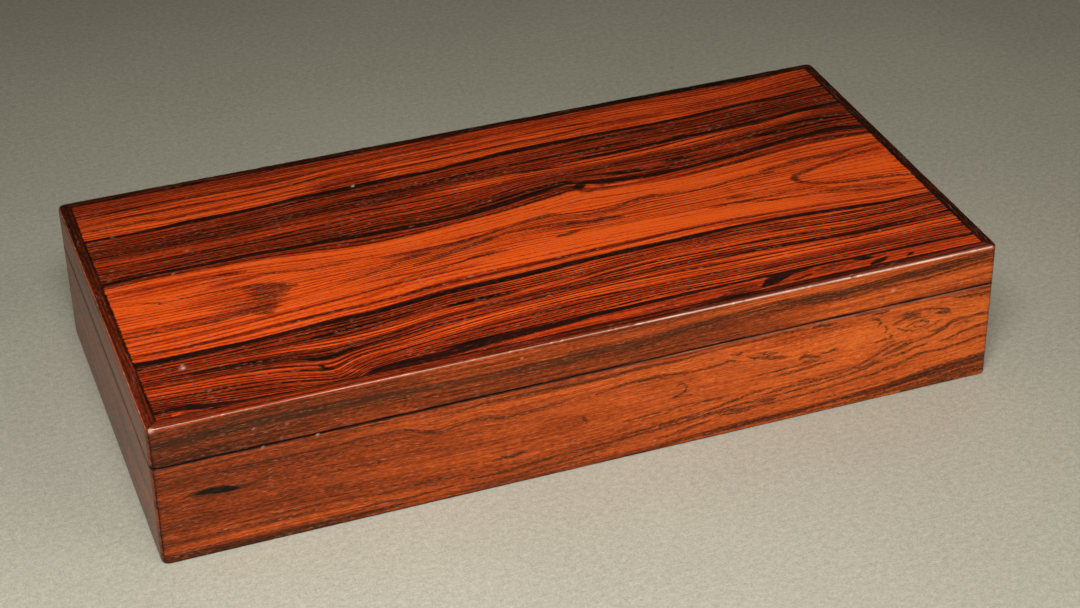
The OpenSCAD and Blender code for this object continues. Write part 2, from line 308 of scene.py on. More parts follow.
# The panel in the lid. u is x and v is y, both from the middle of the box.
TOP_LINES = [
    (80, [(-150, 74), (-100, 74.5), (-50, 77), (0, 79), (50, 80.5), (150, 82)]),
    (70, [(-150, 68.5), (-100, 68.5), (-60, 69), (-20, 71), (20, 73), (60, 73.5), (100, 73.8), (150, 76)]),
    (63, [(-150, 62), (-130, 62.8), (-110, 63.5), (-90, 63), (-80, 62.3), (-65, 63), (-50, 65), (-20, 66.3), (0, 66.5), (20, 66), (50, 68.5), (70, 69), (100, 67.5), (115, 68.5), (130, 70.5), (150, 73)]),
    (57.5, [(-150, 56.5), (-130, 57.5), (-110, 57.3), (-95, 56.8), (-80, 57), (-65, 58.5), (-50, 60.3), (-30, 61), (0, 61.3), (30, 62.8), (50, 62.5), (65, 63.3), (90, 62.2), (110, 62), (125, 64), (140, 66.5), (150, 67.5)]),
    (52.5, [(-150, 52.8), (-130, 52.5), (-120, 51.2), (-110, 51.2), (-100, 52), (-85, 53), (-65, 54), (-50, 54.7), (-30, 56), (-10, 56.3), (0, 57), (20, 58), (30, 57.8), (50, 59.2), (65, 60.3), (80, 59), (95, 57.5), (110, 57), (130, 59), (150, 61)]),
    (47, [(-150, 45.8), (-130, 45.4), (-120, 45.6), (-110, 46.4), (-90, 46.2), (-80, 46.8), (-70, 48), (-60, 47.8), (-50, 48.2), (-40, 48.6), (-28, 48.8), (-15, 48.9), (0, 50.2), (10, 51.6), (20, 52.3), (50, 52.5), (75, 52), (90, 52.5), (100, 53.5), (115, 54.1), (130, 54.8), (140, 56), (150, 56.6)]),
    (39, [(-150, 38.3), (-120, 38.8), (-105, 39), (-90, 38.8), (-75, 39.5), (-60, 40.3), (-50, 41.2), (-40, 40.8), (-25, 41.5), (-10, 43), (0, 43.3), (20, 43.5), (40, 43.8), (60, 43.8), (90, 44.3), (120, 46), (150, 47.5)]),
    (34, [(-150, 34), (-100, 34), (-70, 35.2), (-50, 36), (-30, 37), (-15, 37.6), (0, 36.8), (10, 38), (20, 37), (40, 36.6), (60, 37), (80, 37.8), (100, 38), (120, 39.3), (130, 40.8), (150, 41.4)]),
    (29, [(-150, 30.5), (-120, 30.5), (-90, 31), (-60, 32), (-40, 31.8), (-20, 32.5), (0, 33), (20, 33), (50, 32), (80, 32.3), (100, 34), (120, 36), (135, 37), (150, 36)]),
    (24, [(-150, 24.3), (-110, 24), (-80, 24), (-60, 24.6), (-50, 25.6), (-35, 24.6), (-20, 24.6), (-10, 25.7), (0, 27), (12, 28.6), (25, 28.6), (50, 28.8), (80, 29.2), (95, 30), (110, 31.8), (133, 34.2), (150, 32.3)]),
    (19.5, [(-150, 20), (-110, 20.2), (-80, 19.8), (-60, 20.3), (-45, 21.8), (-35, 20), (-20, 19.2), (-10, 20.5), (0, 22.8), (12, 25), (25, 25.5), (40, 23.5), (60, 22.5), (75, 22.3), (90, 22.8), (110, 25), (130, 27.3), (150, 26)]),
    (14, [(-150, 14.4), (-140, 15.2), (-130, 15.3), (-110, 15.1), (-90, 15.3), (-82, 14.6), (-70, 14), (-60, 13.7), (-50, 13.2), (-40, 13), (-30, 12.6), (-20, 12.9), (-10, 14), (0, 15.8), (10, 18), (20, 20.2), (27, 21), (31, 19.8), (36, 18), (42, 17), (50, 16.1), (60, 15.5), (70, 15.7), (80, 16.3), (90, 17.5), (100, 18.8), (110, 20.2), (120, 21.8), (130, 22.4), (138, 22.6), (143, 21.2), (150, 20.4)]),
    (10, [(-150, 12), (-130, 13), (-110, 12.3), (-90, 12), (-80, 10.8), (-70, 9.3), (-60, 7.6), (-50, 7.1), (-40, 7.3), (-30, 8), (-20, 9), (-10, 10), (0, 11.2), (10, 12.8), (20, 14.5), (27, 16.5), (35, 12.5), (50, 11.6), (60, 11), (70, 11), (80, 11.5), (90, 12), (100, 13.2), (110, 14.5), (120, 15.5), (130, 15.7), (140, 15.3), (150, 14.6)]),
    (5, [(-150, 5.5), (-130, 6.2), (-110, 5.8), (-90, 4), (-70, 2.2), (-50, 1), (-30, 1.5), (-10, 3.5), (0, 4.6), (15, 6), (30, 8), (50, 6), (70, 5), (90, 5.5), (110, 7.5), (130, 8.5), (150, 8.3)]),
    (-2, [(-150, -0.5), (-137, -2.3), (-125, -4), (-105, -3.5), (-95, -2.2), (-85, -1.3), (-70, -2), (-60, -3), (-50, -3.7), (-40, -4.2), (-22, -3.8), (-10, -1.8), (0, -0.2), (10, 1.2), (20, 0), (30, -2.3), (40, -1.6), (50, 0.5), (60, -0.6), (75, -0.8), (85, 0.5), (100, 1), (112, 1.5), (130, 4), (150, 5)]),
    (-10, [(-150, -10), (-100, -10.5), (-85, -10), (-70, -9), (-50, -8.8), (-30, -8), (-10, -5.8), (0, -5), (15, -5.5), (30, -8), (50, -8), (80, -7), (105, -6.5), (150, -8)]),
    (-17, [(-150, -18), (-100, -18.4), (-80, -17), (-60, -15), (-40, -13), (-20, -12), (0, -11), (20, -12), (50, -13), (80, -13), (100, -14.2), (112, -15), (125, -18), (150, -22)]),
    (-21.5, [(-150, -21.5), (-120, -22), (-100, -21), (-80, -19.5), (-60, -18.4), (-45, -19), (-30, -18.2), (-10, -16.6), (10, -15.2), (30, -15.8), (60, -17.6), (90, -18.5), (105, -20), (125, -23), (150, -26)]),
    (-27, [(-150, -28), (-120, -27.2), (-90, -25.6), (-70, -23.8), (-50, -21.5), (-30, -20.5), (0, -20), (40, -20.6), (80, -22), (110, -24.6), (130, -27), (150, -28.6)]),
    (-31, [(-150, -34), (-130, -34.3), (-110, -33.8), (-95, -32.8), (-80, -31.5), (-65, -31.3), (-50, -30), (-40, -28.6), (-30, -28.3), (-15, -28), (0, -27.5), (15, -27), (30, -26.3), (50, -25.5), (60, -25.2), (70, -25.5), (90, -26.5), (110, -28), (120, -29), (135, -30.5), (150, -31)]),
    (-35, [(-150, -38.8), (-130, -39), (-110, -39), (-95, -38.2), (-80, -37), (-65, -36.6), (-50, -35.2), (-40, -33.8), (-30, -33.4), (-15, -33.1), (0, -32.5), (15, -31.6), (30, -31.3), (45, -31.2), (60, -30.9), (70, -30.4), (85, -30.7), (95, -31.3), (110, -32.5), (120, -33.6), (130, -34.4), (150, -34.4)]),
    (-40, [(-150, -43.5), (-120, -43.8), (-100, -44), (-80, -44.5), (-65, -43.5), (-50, -41.2), (-40, -40), (-20, -39), (0, -38), (20, -37), (40, -35.8), (70, -35.6), (95, -36.8), (110, -38), (130, -39), (150, -38.5)]),
    (-45, [(-150, -46.8), (-120, -47.3), (-100, -48), (-85, -49.8), (-75, -50.2), (-65, -49.3), (-50, -46.5), (-40, -45), (-20, -44), (0, -43), (20, -41.5), (40, -39.7), (60, -40), (80, -40), (95, -41), (110, -42.5), (130, -43), (150, -42)]),
    (-51.5, [(-150, -51.5), (-120, -53), (-105, -54), (-96, -55), (-91, -56.9), (-86, -57.4), (-82, -56.6), (-77, -55.5), (-60, -54), (-50, -51.6), (-40, -51), (-20, -49), (0, -48), (25, -47), (50, -46.5), (70, -47), (90, -48.5), (110, -49.5), (130, -49), (150, -48)]),
    (-57.5, [(-150, -56.5), (-120, -58), (-105, -60), (-97, -62.5), (-91, -65), (-86, -65.5), (-81, -62), (-75, -60.5), (-60, -59), (-50, -58), (-40, -57), (-20, -55), (0, -53.5), (20, -53), (40, -53), (60, -55), (80, -56), (100, -56.5), (120, -57), (150, -57)]),
    (-63.5, [(-150, -62.5), (-120, -65), (-105, -67.3), (-95, -69.5), (-89, -71.2), (-84.5, -71.2), (-80, -68.3), (-75, -66), (-60, -63.8), (-50, -62.8), (-30, -60.8), (0, -59), (40, -58.7), (90, -60), (150, -61)]),
    (-69, [(-150, -68.6), (-142, -67.8), (-136, -68.6), (-130, -70), (-122, -71.2), (-110, -72.3), (-98, -73.5), (-88, -75.5), (-83, -75), (-78, -72), (-68, -70.3), (-50, -69.8), (-40, -68.4), (-25, -67.3), (-10, -66.6), (0, -66.1), (20, -65.5), (60, -65), (95, -65.1), (130, -65.8), (150, -66.2)]),
    (-77, [(-150, -75), (-130, -77), (-100, -79), (-80, -79), (-50, -76), (0, -74), (40, -74), (150, -74)]),
]
# (from level, to level, tone, contrast, from u, to u, softness across, softness along)
ALL = (-200, 200)
TOP_BANDS = [
    (63.5, 90, 0.50, 0.55, *ALL, 1.5, 9),
    (66, 90, 0.66, 0.45, -20, 200, 2.5, 30),
    (65, 67.5, 0.66, 0.35, -115, -66, 0.5, 8),
    (64.0, 66.8, 0.70, 0.35, -55, 35, 0.6, 12),
    (62.2, 64.0, 0.36, 0.3, -142, 10, 0.4, 10),
    (48, 62.4, 0.78, 0.42, *ALL, 0.6, 9),
    (48, 56, 0.83, 0.40, *ALL, 0.8, 9),
    (56.9, 58.2, 0.42, 0.3, -150, -48, 0.35, 6),
    (57.0, 58.4, 0.52, 0.3, -48, 60, 0.35, 12),
    (51.9, 53.1, 0.36, 0.2, -120, 80, 0.3, 5),
    (46, 55, 0.52, 0.4, -62, -37, 1.2, 5),
    (48, 58, 0.60, 0.4, 88, 200, 2.0, 14),
    (30, 46.5, 0.36, 0.55, *ALL, 1.0, 9),
    (38, 46, 0.46, 0.55, -30, 70, 1.0, 20),
    (39.5, 46.2, 0.42, 0.5, -200, -60, 1.0, 20),
    (40.3, 41.3, 0.60, 0.3, -112, 20, 0.35, 14),
    (43.8, 44.8, 0.52, 0.3, -60, 120, 0.35, 14),
    (37.2, 38.8, 0.18, 0.3, -112, -94, 0.6, 3),
    (30, 38, 0.26, 0.5, -130, -20, 1.2, 20),
    (34.4, 35.4, 0.56, 0.3, -90, -82, 0.3, 2),
    (24, 30, 0.53, 0.45, *ALL, 0.9, 9),
    (26.5, 32.5, 0.62, 0.82, -18, 132, 0.9, 10),
    (25.5, 28.5, 0.58, 0.35, -148, -60, 0.7, 12),
    (14.5, 24.5, 0.37, 0.62, *ALL, 0.7, 9),
    (20.8, 21.6, 0.58, 0.3, -60, -38, 0.4, 5),
    (18.8, 21.2, 0.60, 0.3, 42, 66, 0.7, 4),
    (18.8, 21.8, 0.58, 0.35, 77, 104, 0.7, 6),
    (9.8, 13.4, 0.50, 0.45, *ALL, 0.5, 9),
    (10.4, 13.4, 0.68, 0.35, 34, 115, 0.5, 16),
    (9.3, 10.6, 0.30, 0.2, -150, 26, 0.3, 5),
    (9.4, 10.5, 0.36, 0.2, 36, 200, 0.3, 5),
    (-33.6, 9.5, 0.88, 0.36, *ALL, 0.7, 9),
    (-8, 6, 0.95, 0.22, -150, -118, 2.5, 12),
    (5.0, 6.2, 0.60, 0.2, -146, -100, 0.4, 5),
    (-21, 0, 0.84, 0.5, -60, 104, 3.0, 10),
    (-15, -1, 0.74, 0.66, -52, 62, 3.0, 12),
    (-30, -19, 0.99, 0.40, -20, 120, 2.0, 20),
    (1, 9, 0.96, 0.32, -60, 100, 1.5, 14),
    (-10, 3, 0.88, 0.22, 114, 200, 2.5, 4),
    (-19.3, -17.2, 0.62, 0.3, -150, -88, 0.5, 6),
    (-27.6, -26.3, 0.58, 0.3, -150, -20, 0.4, 12),
    (-31.6, -30.4, 0.42, 0.25, -150, -60, 0.35, 10),
    (-31.7, -30.5, 0.34, 0.2, -60, 90, 0.35, 10),
    (-31.7, -30.4, 0.55, 0.2, 90, 200, 0.35, 10),
    (-43.4, -35.5, 0.34, 0.66, *ALL, 0.5, 9),
    (-43.0, -35.8, 0.43, 1.10, -25, 140, 0.6, 25),
    (-46.6, -43.6, 0.52, 0.5, *ALL, 0.5, 9),
    (-46.4, -43.7, 0.71, 0.52, -104, 200, 0.5, 14),
    (-53.2, -46.8, 0.36, 0.6, *ALL, 0.6, 9),
    (-52.0, -46.8, 0.465, 1.05, -45, 200, 0.6, 25),
    (-48.6, -47.6, 0.27, 0.2, -120, 30, 0.3, 12),
    (-51.9, -51.0, 0.14, 0.2, -30, 200, 0.25, 12),
    (-50.3, -49.6, 0.26, 0.2, -30, 70, 0.2, 12),
    (-59.5, -53.4, 0.60, 0.6, *ALL, 0.6, 9),
    (-57.4, -54.2, 0.73, 0.72, -60, 200, 0.6, 14),
    (-59.4, -57.8, 0.74, 0.42, -75, 200, 0.4, 10),
    (-67.8, -59.6, 0.44, 0.62, *ALL, 0.6, 9),
    (-67.8, -62.5, 0.41, 1.10, 10, 200, 0.8, 20),
    (-90, -70.2, 0.50, 0.4, *ALL, 0.4, 9),
    (-74, -70.3, 0.74, 0.3, -30, 58, 0.6, 10),
    (-90, -70.3, 0.76, 0.3, 60, 200, 0.6, 6),
]
TOP_BLACK = [
    [(-150, 45.8, .7), (-130, 45.4, .8), (-120, 45.6, .9), (-110, 46.4, 1.1), (-100, 46.3, 1.1), (-90, 46.2, 1.0), (-80, 46.8, .9), (-70, 48, 1.1), (-60, 47.8, 1.2), (-50, 48.2, 1.3), (-40, 48.6, 1.4), (-28, 48.8, 1.2), (-15, 48.9, 1.1), (0, 50.2, 1.2), (10, 51.6, 1.3), (20, 52.3, 1.3), (40, 52.3, 1.2), (50, 52.5, .9), (60, 52.2, .9), (75, 52, .9), (90, 52.5, .9), (100, 53.5, .8), (115, 54.1, .8), (130, 54.8, .6), (140, 56, .6), (150, 56.5, .6)],
    [(30, 35.8, .1), (40, 36.4, .7), (50, 36.7, .9), (60, 37, .7), (70, 37.4, .7), (80, 38.3, 1.3), (88, 37.7, .8), (100, 38, .7), (110, 38.6, .8), (120, 39.3, .9), (130, 40.8, .9), (140, 41.1, 1.0), (150, 41.3, .9)],
    [(-150, 14.4, 1.0), (-140, 15.2, 1.0), (-130, 15.3, .9), (-110, 15.1, .9), (-90, 15.3, 1.1), (-82, 14.6, 1.0), (-70, 14, 1.0), (-60, 13.7, 1.3), (-50, 13.2, 1.5), (-40, 13, 1.5), (-30, 12.6, 1.3), (-20, 12.9, 1.2), (-10, 14, 1.5), (0, 15.8, 1.5), (10, 18, 1.4), (20, 20.2, 1.2), (27, 21, .9), (31, 19.8, .7), (36, 18, 1.1), (42, 17, 1.3), (50, 16.1, 1.4), (60, 15.5, 1.4), (70, 15.7, 1.2), (80, 16.3, 1.0), (90, 17.5, 1.0), (100, 18.8, 1.0), (110, 20.2, 1.1), (120, 21.8, 1.3), (130, 22.4, 1.5), (138, 22.6, 1.6), (143, 21.2, 1.6), (150, 20.4, 1.4)],
    [(-150, -38.8, 1.3), (-130, -39, 1.2), (-110, -39, 1.1), (-95, -38.2, 1.2), (-80, -37, 1.5), (-65, -36.6, 1.3), (-50, -35.2, 1.3), (-40, -33.8, 1.4), (-30, -33.4, 1.4), (-15, -33.1, 1.4), (0, -32.5, 1.3), (15, -31.6, 1.3), (30, -31.3, 1.4), (45, -31.2, 1.3), (60, -30.9, 1.1), (70, -30.4, 1.0), (85, -30.7, 1.0), (95, -31.3, 1.1), (110, -32.5, .8), (120, -33.6, .7), (130, -34.4, .5), (150, -34.4, .4)],
    [(-150, -68.6, .8), (-142, -67.8, 1.1), (-136, -68.6, 1.5), (-130, -70, 1.2), (-122, -71.2, .8), (-110, -72, .5), (-98, -72.6, .1)],
    [(-79, -71.8, .3), (-75, -70.9, 1.6), (-68, -70.3, 2.0), (-50, -69.6, 1.9), (-40, -68.4, 1.8), (-25, -67.3, 1.8), (-10, -66.6, 1.7), (0, -66.1, 1.4), (10, -65.8, 1.1), (20, -65.5, 1.0), (40, -65.2, .9), (60, -65, .8), (75, -65.1, .9), (95, -65.1, .7), (110, -65.4, .7), (130, -65.8, .6), (150, -66.2, .6)],
    [(-97, -54.8, .2), (-92, -56.8, .8), (-87, -57.3, .9), (-83, -56.8, .8), (-79, -55.4, .8), (-75, -55.2, .1)],
    [(64.5, -70.8, .7), (68, -68.8, 2.1), (72, -67.3, 2.1), (77, -66.3, .9), (84, -66.3, .3)],
    [(101.5, -66.2, .5), (105, -66.9, 1.4), (108, -67.2, .5)],
    [(105.5, -71.3, .6), (109, -70.3, 1.2), (112.5, -69.0, .5)],
    [(76, -71.2, .3), (80, -70.2, .5), (84, -69.3, .1)],
    [(119, -71.5, .3), (121, -70.3, .6), (123, -69, .1)],
    [(28.2, 16.9, .7), (30.2, 17.4, 1.9), (31.6, 18.1, 1.0)],
    [(-91, -61.5, .5), (-89.5, -63.6, .8), (-87, -64.6, .3)],
]
TOP_BROWN = [
    [(-150, 52.8, .6), (-135, 52.5, .7), (-126, 52.4, .7), (-120.5, 52.0, .1)],
    [(-132, -4.4, .1), (-118, -4.0, .3), (-106, -4.3, .5), (-98, -5.4, 1.2), (-92, -7.0, 1.2), (-87, -8.2, .3)],
    [(-104, -7.0, .0), (-98, -7.8, .8), (-93, -8.9, 1.7), (-88.5, -9.7, 1.1), (-84.8, -10.1, .2)],
    [(-102, -10.4, .1), (-97, -11, 1.2), (-93, -11.5, 1.6), (-88.5, -12, .5)],
    [(-112, -12.8, .0), (-103, -13.4, .4), (-96, -13.9, 1.4), (-92, -14.2, .9), (-89.4, -14.4, .1)],
    [(-117, -15.2, .1), (-108, -15.6, .6), (-99, -16.2, .8), (-92.6, -16.6, .4)],
    [(-105, -18.5, .2), (-98, -18.9, .9), (-94.2, -19.2, .2)],
    [(-105, -20.8, .4), (-99, -21.3, 1.0), (-95.6, -21.8, .2)],
    [(-103, -23.0, .3), (-98.5, -23.8, .8), (-96.6, -24.1, .1)],
    [(-150, -21.6, .4), (-130, -21.8, .5), (-118, -22, .7), (-110, -21.2, .8), (-103, -20.8, .9), (-96, -21, .8), (-93, -20.6, .1)],
    [(-104, -22.4, .2), (-100, -23, .8), (-96.5, -23.8, .2)],
    [(-144, -0.6, .0), (-141, -1, .25), (-137, -2.2, .35), (-131, -3.9, .1)],
    [(-110, 5.9, .2), (-104, 5.6, .5), (-99, 5.2, .1)],
    [(-101, 2.2, .0), (-93, 1.2, .35), (-85, -.6, .45), (-78, -1.8, .4), (-68, -1.9, .4), (-61, -2.7, .0)],
    [(-70, -14, .0), (-60, -13, .3), (-54, -11.5, .4), (-49, -10.2, .0)],
    [(-52, -4, .3), (-40, -4.4, .5), (-30, -4.8, .5), (-22, -4, .8), (-15, -2.8, .8), (-8, -1, .7), (0, .5, .6), (8, 1.5, .9), (13, 2.2, 1.0), (17, 1, .2)],
    [(-49, -8, .3), (-42, -7.0, 1.2), (-36, -7, .4)],
    [(-36, -9.7, .4), (-28, -9.1, .7), (-20, -7.6, .8), (-13, -5.6, 1.1), (-9, -5, .2)],
    [(-43, -12.8, .1), (-36, -12.1, .6), (-29, -10.6, .2)],
    [(-52, -20.6, .2), (-46, -19.4, .4), (-36, -18.8, .3), (-24, -15.8, .4), (-16, -15.3, 1.0), (-9, -15.2, .2)],
    [(-8, -4, .2), (0, -4.2, .6), (10, -5, .6), (18, -6, .9), (22, -6.5, .2)],
    [(24, -8.3, .5), (30, -7.4, 1.3), (37, -8.7, .4)],
    [(10, -13.4, .3), (16, -12.5, 1.0), (21, -11.3, .2)],
    [(24, -2.4, .2), (34, -2.3, .5), (40, -1, .7), (46, .6, 1.1), (52, .9, 1.0), (58, -.3, .5), (66, -1.2, .4), (76, -1, .5), (84, .5, .5), (92, 1.2, .6), (101, .8, .3)],
    [(77, -10.8, .2), (80, -11.3, .7), (87, -11.4, .2)],
    [(150, 3.2, .5), (135, 1.7, .6), (128, .8, .6), (120, -1.1, .7), (113, -3.2, .8), (107.5, -4.9, 1.0), (105.6, -6.8, 1.0), (107, -9.6, 1.0), (110, -12, .8), (116, -14.4, .6), (124, -16.2, .6), (134, -17.2, .7), (144, -18.9, .6), (149, -20.2, .2)],
    [(69, -15.3, .3), (80, -15.3, .5), (90, -15, .4), (100, -14.6, .4), (106, -14.9, .3), (115, -16.6, .2)],
    [(84, -16.3, .2), (92, -18, .4), (104, -19, .4), (113, -19.1, .5), (124, -20.6, .6), (133, -22.4, .6), (143, -24.8, .3)],
    [(112, -20.3, .2), (122, -22.4, .4), (130, -24.6, .5), (138, -26.2, .2)],
    [(110, 6.5, .2), (118, 5.2, .9), (126, 4.4, 1.1), (136, 5.6, .6), (149, 7.2, .4)],
    [(96, 2.4, .3), (104, 3.4, .7), (112, 4.5, .8), (120, 5.3, .3)],
    [(29, 13.2, .2), (32, 12.6, .6), (37, 13.4, .4), (43, 12.6, .1)],
    [(24, 17.2, .2), (27, 17.6, .7), (31, 15.3, .4)],
    [(66, 21.5, .3), (70, 22.2, .8), (77, 22.6, .3)],
    [(20, -70.3, .1), (30, -69.4, .4), (36, -68.2, .1)],
    [(48, -71.3, .2), (56, -69.6, .6), (62, -68.9, .4)],
    [(86, -68.2, .3), (90, -69.4, .5), (96, -70.2, .2)],
    [(88, -66.9, .2), (95, -67.2, .6), (100, -67.8, .2)],
    [(-84, -70.8, .3), (-80.5, -70.3, .4), (-78, -68.6, .2)],
]
# (stroke, change of tone, softness)
TOP_SOFT = [
    ([(-84, -67, .5), (-79, -69, 1.0)], .30, 1.2),
    ([(32, 16.5, .5), (35, 16, 1.2), (37, 15, .4)], .42, 1.0),
    ([(40, 14.6, .3), (47, 13.6, .5), (52, 13.3, .3)], .34, .8),
    ([(80, -4, 1.5), (81, -8, 1.5)], -.10, 2.5),
    ([(-122, -10, 1), (-100, -10, 4)], -.16, 4.0),
    ([(-112, -17, 1), (-98, -18.5, 3)], -.16, 3.0),
    ([(-140, -70.9, .4), (-142, -71.2, .6)], .5, .8),
    ([(118, -7, 2), (140, -7, 5)], .06, 6.0),
    ([(-140, -8, 2), (-130, -9, 4)], .06, 6.0),
    ([(-90, 25.5, 3), (20, 25.5, 3)], .07, 2.0), ([(0, 42, 3), (90, 42, 3)], .05, 2.0),
    ([(10, 11, 1.5), (100, 11, 2.5)], .07, 2.0), ([(0, 2.5, 3.5), (95, 2.5, 3.5)], .07, 2.0),
    ([(-145, 2.5, 3.5), (-105, 2.5, 3.5)], -.06, 2.0), ([(-48, -20.5, 4.5), (95, -20.5, 4.5)], .07, 2.0),
    ([(50, -8, 4), (140, -8, 4)], .05, 2.0), ([(-40, -30, 2), (140, -30, 2)], .07, 1.5),
    ([(-145, -38, 3), (-105, -38, 3)], -.06, 2.0), ([(0, -46.5, 3), (140, -46.5, 3)], .08, 2.0),
    ([(0, -54.5, 3), (90, -54.5, 3)], .07, 2.0), ([(-145, -68.5, 2), (-105, -68.5, 2)], -.08, 1.5),
    ([(-48, -68.5, 2), (140, -68.5, 2)], -.07, 1.5),
    ([(-145, -21, 4), (-108, -21, 4)], -.07, 2.0), ([(-145, -9, 3), (-110, -9, 3)], -.05, 2.0),
]

# The front boards. u is x and v is height, and goes on over the lid's arris across the rim.
FRONT_LINES = [
    (64, [(-160, 62), (160, 64)]),
    (57, [(-160, 55.6), (-100, 55.5), (0, 55), (100, 56), (160, 57)]),
    (49.5, [(-155, 49), (-140, 49.3), (-130, 49.8), (-110, 50), (-90, 49.7), (-60, 49), (-50, 48.5), (-30, 48), (-10, 48), (10, 47.8), (20, 48), (35, 49), (50, 50), (65, 50.5), (80, 50.3), (95, 49.8), (110, 50.5), (125, 51.5), (140, 52.3), (155, 52)]),
    (46, [(-155, 46), (-135, 46.5), (-110, 47), (-90, 47), (-50, 46), (-30, 45.5), (0, 45), (15, 45), (30, 46), (50, 46.5), (70, 47), (85, 46.3), (95, 46.5), (105, 47.2), (120, 47.3), (135, 48.3), (155, 49)]),
    (39, [(-160, 39), (160, 39.6)]),
    (36, [(-155, 36.5), (-100, 36.5), (-50, 36), (-10, 35.5), (0, 35.7), (20, 36.3), (30, 36), (50, 37.2), (100, 37.5), (155, 36.5)]),
    (31, [(-155, 31.8), (-143, 32.2), (-110, 32.3), (-90, 32.5), (-70, 32.8), (-66, 32), (-62, 30), (-58, 28.3), (-50, 29.5), (-45, 30.3), (-38, 30), (-35, 28.3), (-25, 28.3), (-10, 28.8), (0, 29.5), (8, 30.5), (15, 31), (25, 31), (30, 30), (50, 31), (64, 28.5), (80, 29), (100, 31), (112, 32), (125, 33.6), (135, 31), (155, 29.6)]),
    (25, [(-155, 25.4), (-132, 25.5), (-110, 25.5), (-70, 25), (-40, 23), (0, 24), (40, 25), (60, 24.5), (80, 23.5), (100, 25), (115, 27), (130, 27), (155, 26.5)]),
    (20, [(-155, 20.4), (-130, 20.5), (-100, 20), (-50, 19), (0, 19.5), (30, 20.5), (50, 19), (70, 20), (85, 20.8), (100, 18.5), (108, 19), (118, 20.5), (125, 21.6), (133, 23.6), (141, 24.5), (155, 24.5)]),
    (14, [(-155, 14.5), (-100, 15), (-60, 13.8), (-35, 12.6), (-10, 12.8), (0, 13), (15, 15), (30, 16), (50, 16), (70, 16), (90, 15.5), (100, 16), (110, 17.4), (122, 18.6), (132, 19.4), (145, 21.6), (155, 22.6)]),
    (10.5, [(-155, 10.6), (-100, 11), (-70, 9.6), (-50, 8.6), (-30, 7.4), (-10, 8), (0, 8.3), (20, 9), (35, 10), (50, 12), (60, 11.5), (70, 12), (85, 12.5), (100, 13.5), (108, 14.5), (120, 15.5), (130, 15), (155, 17.5)]),
    (7, [(-155, 7.2), (-100, 7), (-80, 6.6), (-60, 5.5), (-30, 4.5), (0, 6), (20, 5.5), (35, 6), (50, 8.6), (60, 9), (80, 9), (100, 10.5), (108, 11.3), (120, 13.2), (130, 13.6), (155, 15)]),
    (3, [(-155, 3.5), (-100, 3.2), (-60, 2.8), (-30, 2.5), (0, 3), (20, 2.6), (50, 4.5), (80, 5), (100, 5.6), (120, 7.5), (135, 8.6), (155, 9.5)]),
    (0, [(-155, 0), (0, 0), (50, 1), (90, 1.6), (110, 2.4), (130, 4), (155, 6.2)]),
    (-8, [(-160, -8), (160, -5)]),
]
FRONT_BANDS = [
    # the first five rows lighten the front towards the right: partly the wood's own tone, partly painted light falling
    # from the right
    (-20, 70, 0.39, 0.13, -200, -60, 1, 60),
    (-20, 70, 0.44, 0.16, -130, 0, 1, 60),
    (-20, 70, 0.55, 0.16, -70, 200, 1, 60),
    (-20, 39.0, 0.62, 0.16, 0, 200, 1, 60),
    (-20, 39.0, 0.74, 0.15, 60, 200, 1, 60),
    (49.8, 54.0, 0.37, 0.26, -200, -30, 0.5, 60),
    (49.8, 54.0, 0.50, 0.30, -60, 40, 0.5, 40),
    (49.8, 54.0, 0.64, 0.35, 40, 200, 0.5, 40),
    (46, 49.5, 0.16, 0.26, -200, -50, 0.4, 60),
    (46, 49.5, 0.31, 0.40, -80, 30, 0.4, 40),
    (46, 49.5, 0.54, 0.45, 20, 200, 0.4, 60),
    (39.4, 45.6, 0.26, 0.16, -200, -50, 0.6, 60),
    (39.4, 45.6, 0.42, 0.22, -90, 70, 0.6, 40),
    (39.4, 45.2, 0.68, 0.26, 74, 200, 0.6, 24),
    (36.6, 38.8, 0.46, 0.30, -200, -20, 0.4, 60),
    (36.6, 38.8, 0.58, 0.35, -40, 200, 0.4, 40),
    (35.5, 36.5, 0.50, 0.20, -50, 70, 0.3, 12),
    (32.6, 35.2, 0.50, 0.24, -130, -50, 0.7, 30),
    (32, 35.2, 0.66, 0.24, -70, 110, 0.8, 30),
    (10.2, 11.4, 0.47, 0.20, -150, -100, 0.3, 20),
    (6.8, 7.8, 0.36, 0.20, -200, -90, 0.3, 30),
    (4.0, 6.6, 0.56, 0.22, -200, -60, 0.5, 40),
    (6.2, 8.2, 0.62, 0.22, -90, -30, 0.5, 30),
    (0.6, 2.6, 0.22, 0.3, -200, -50, 0.5, 40),
    (0.6, 2.4, 0.40, 0.3, -80, 200, 0.5, 20),
    (54.6, 70, 0.46, 0.30, -200, -20, 0.4, 60),
    (54.6, 70, 0.34, 0.30, -20, 200, 0.4, 60),
]
FRONT_BLACK = [
    [(-139.5, 25.8, .1), (-137, 25.9, .8), (-134, 25.8, 1.25), (-130, 25.3, 1.2), (-127, 24.9, .8), (-124.5, 24.7, .2)],
]
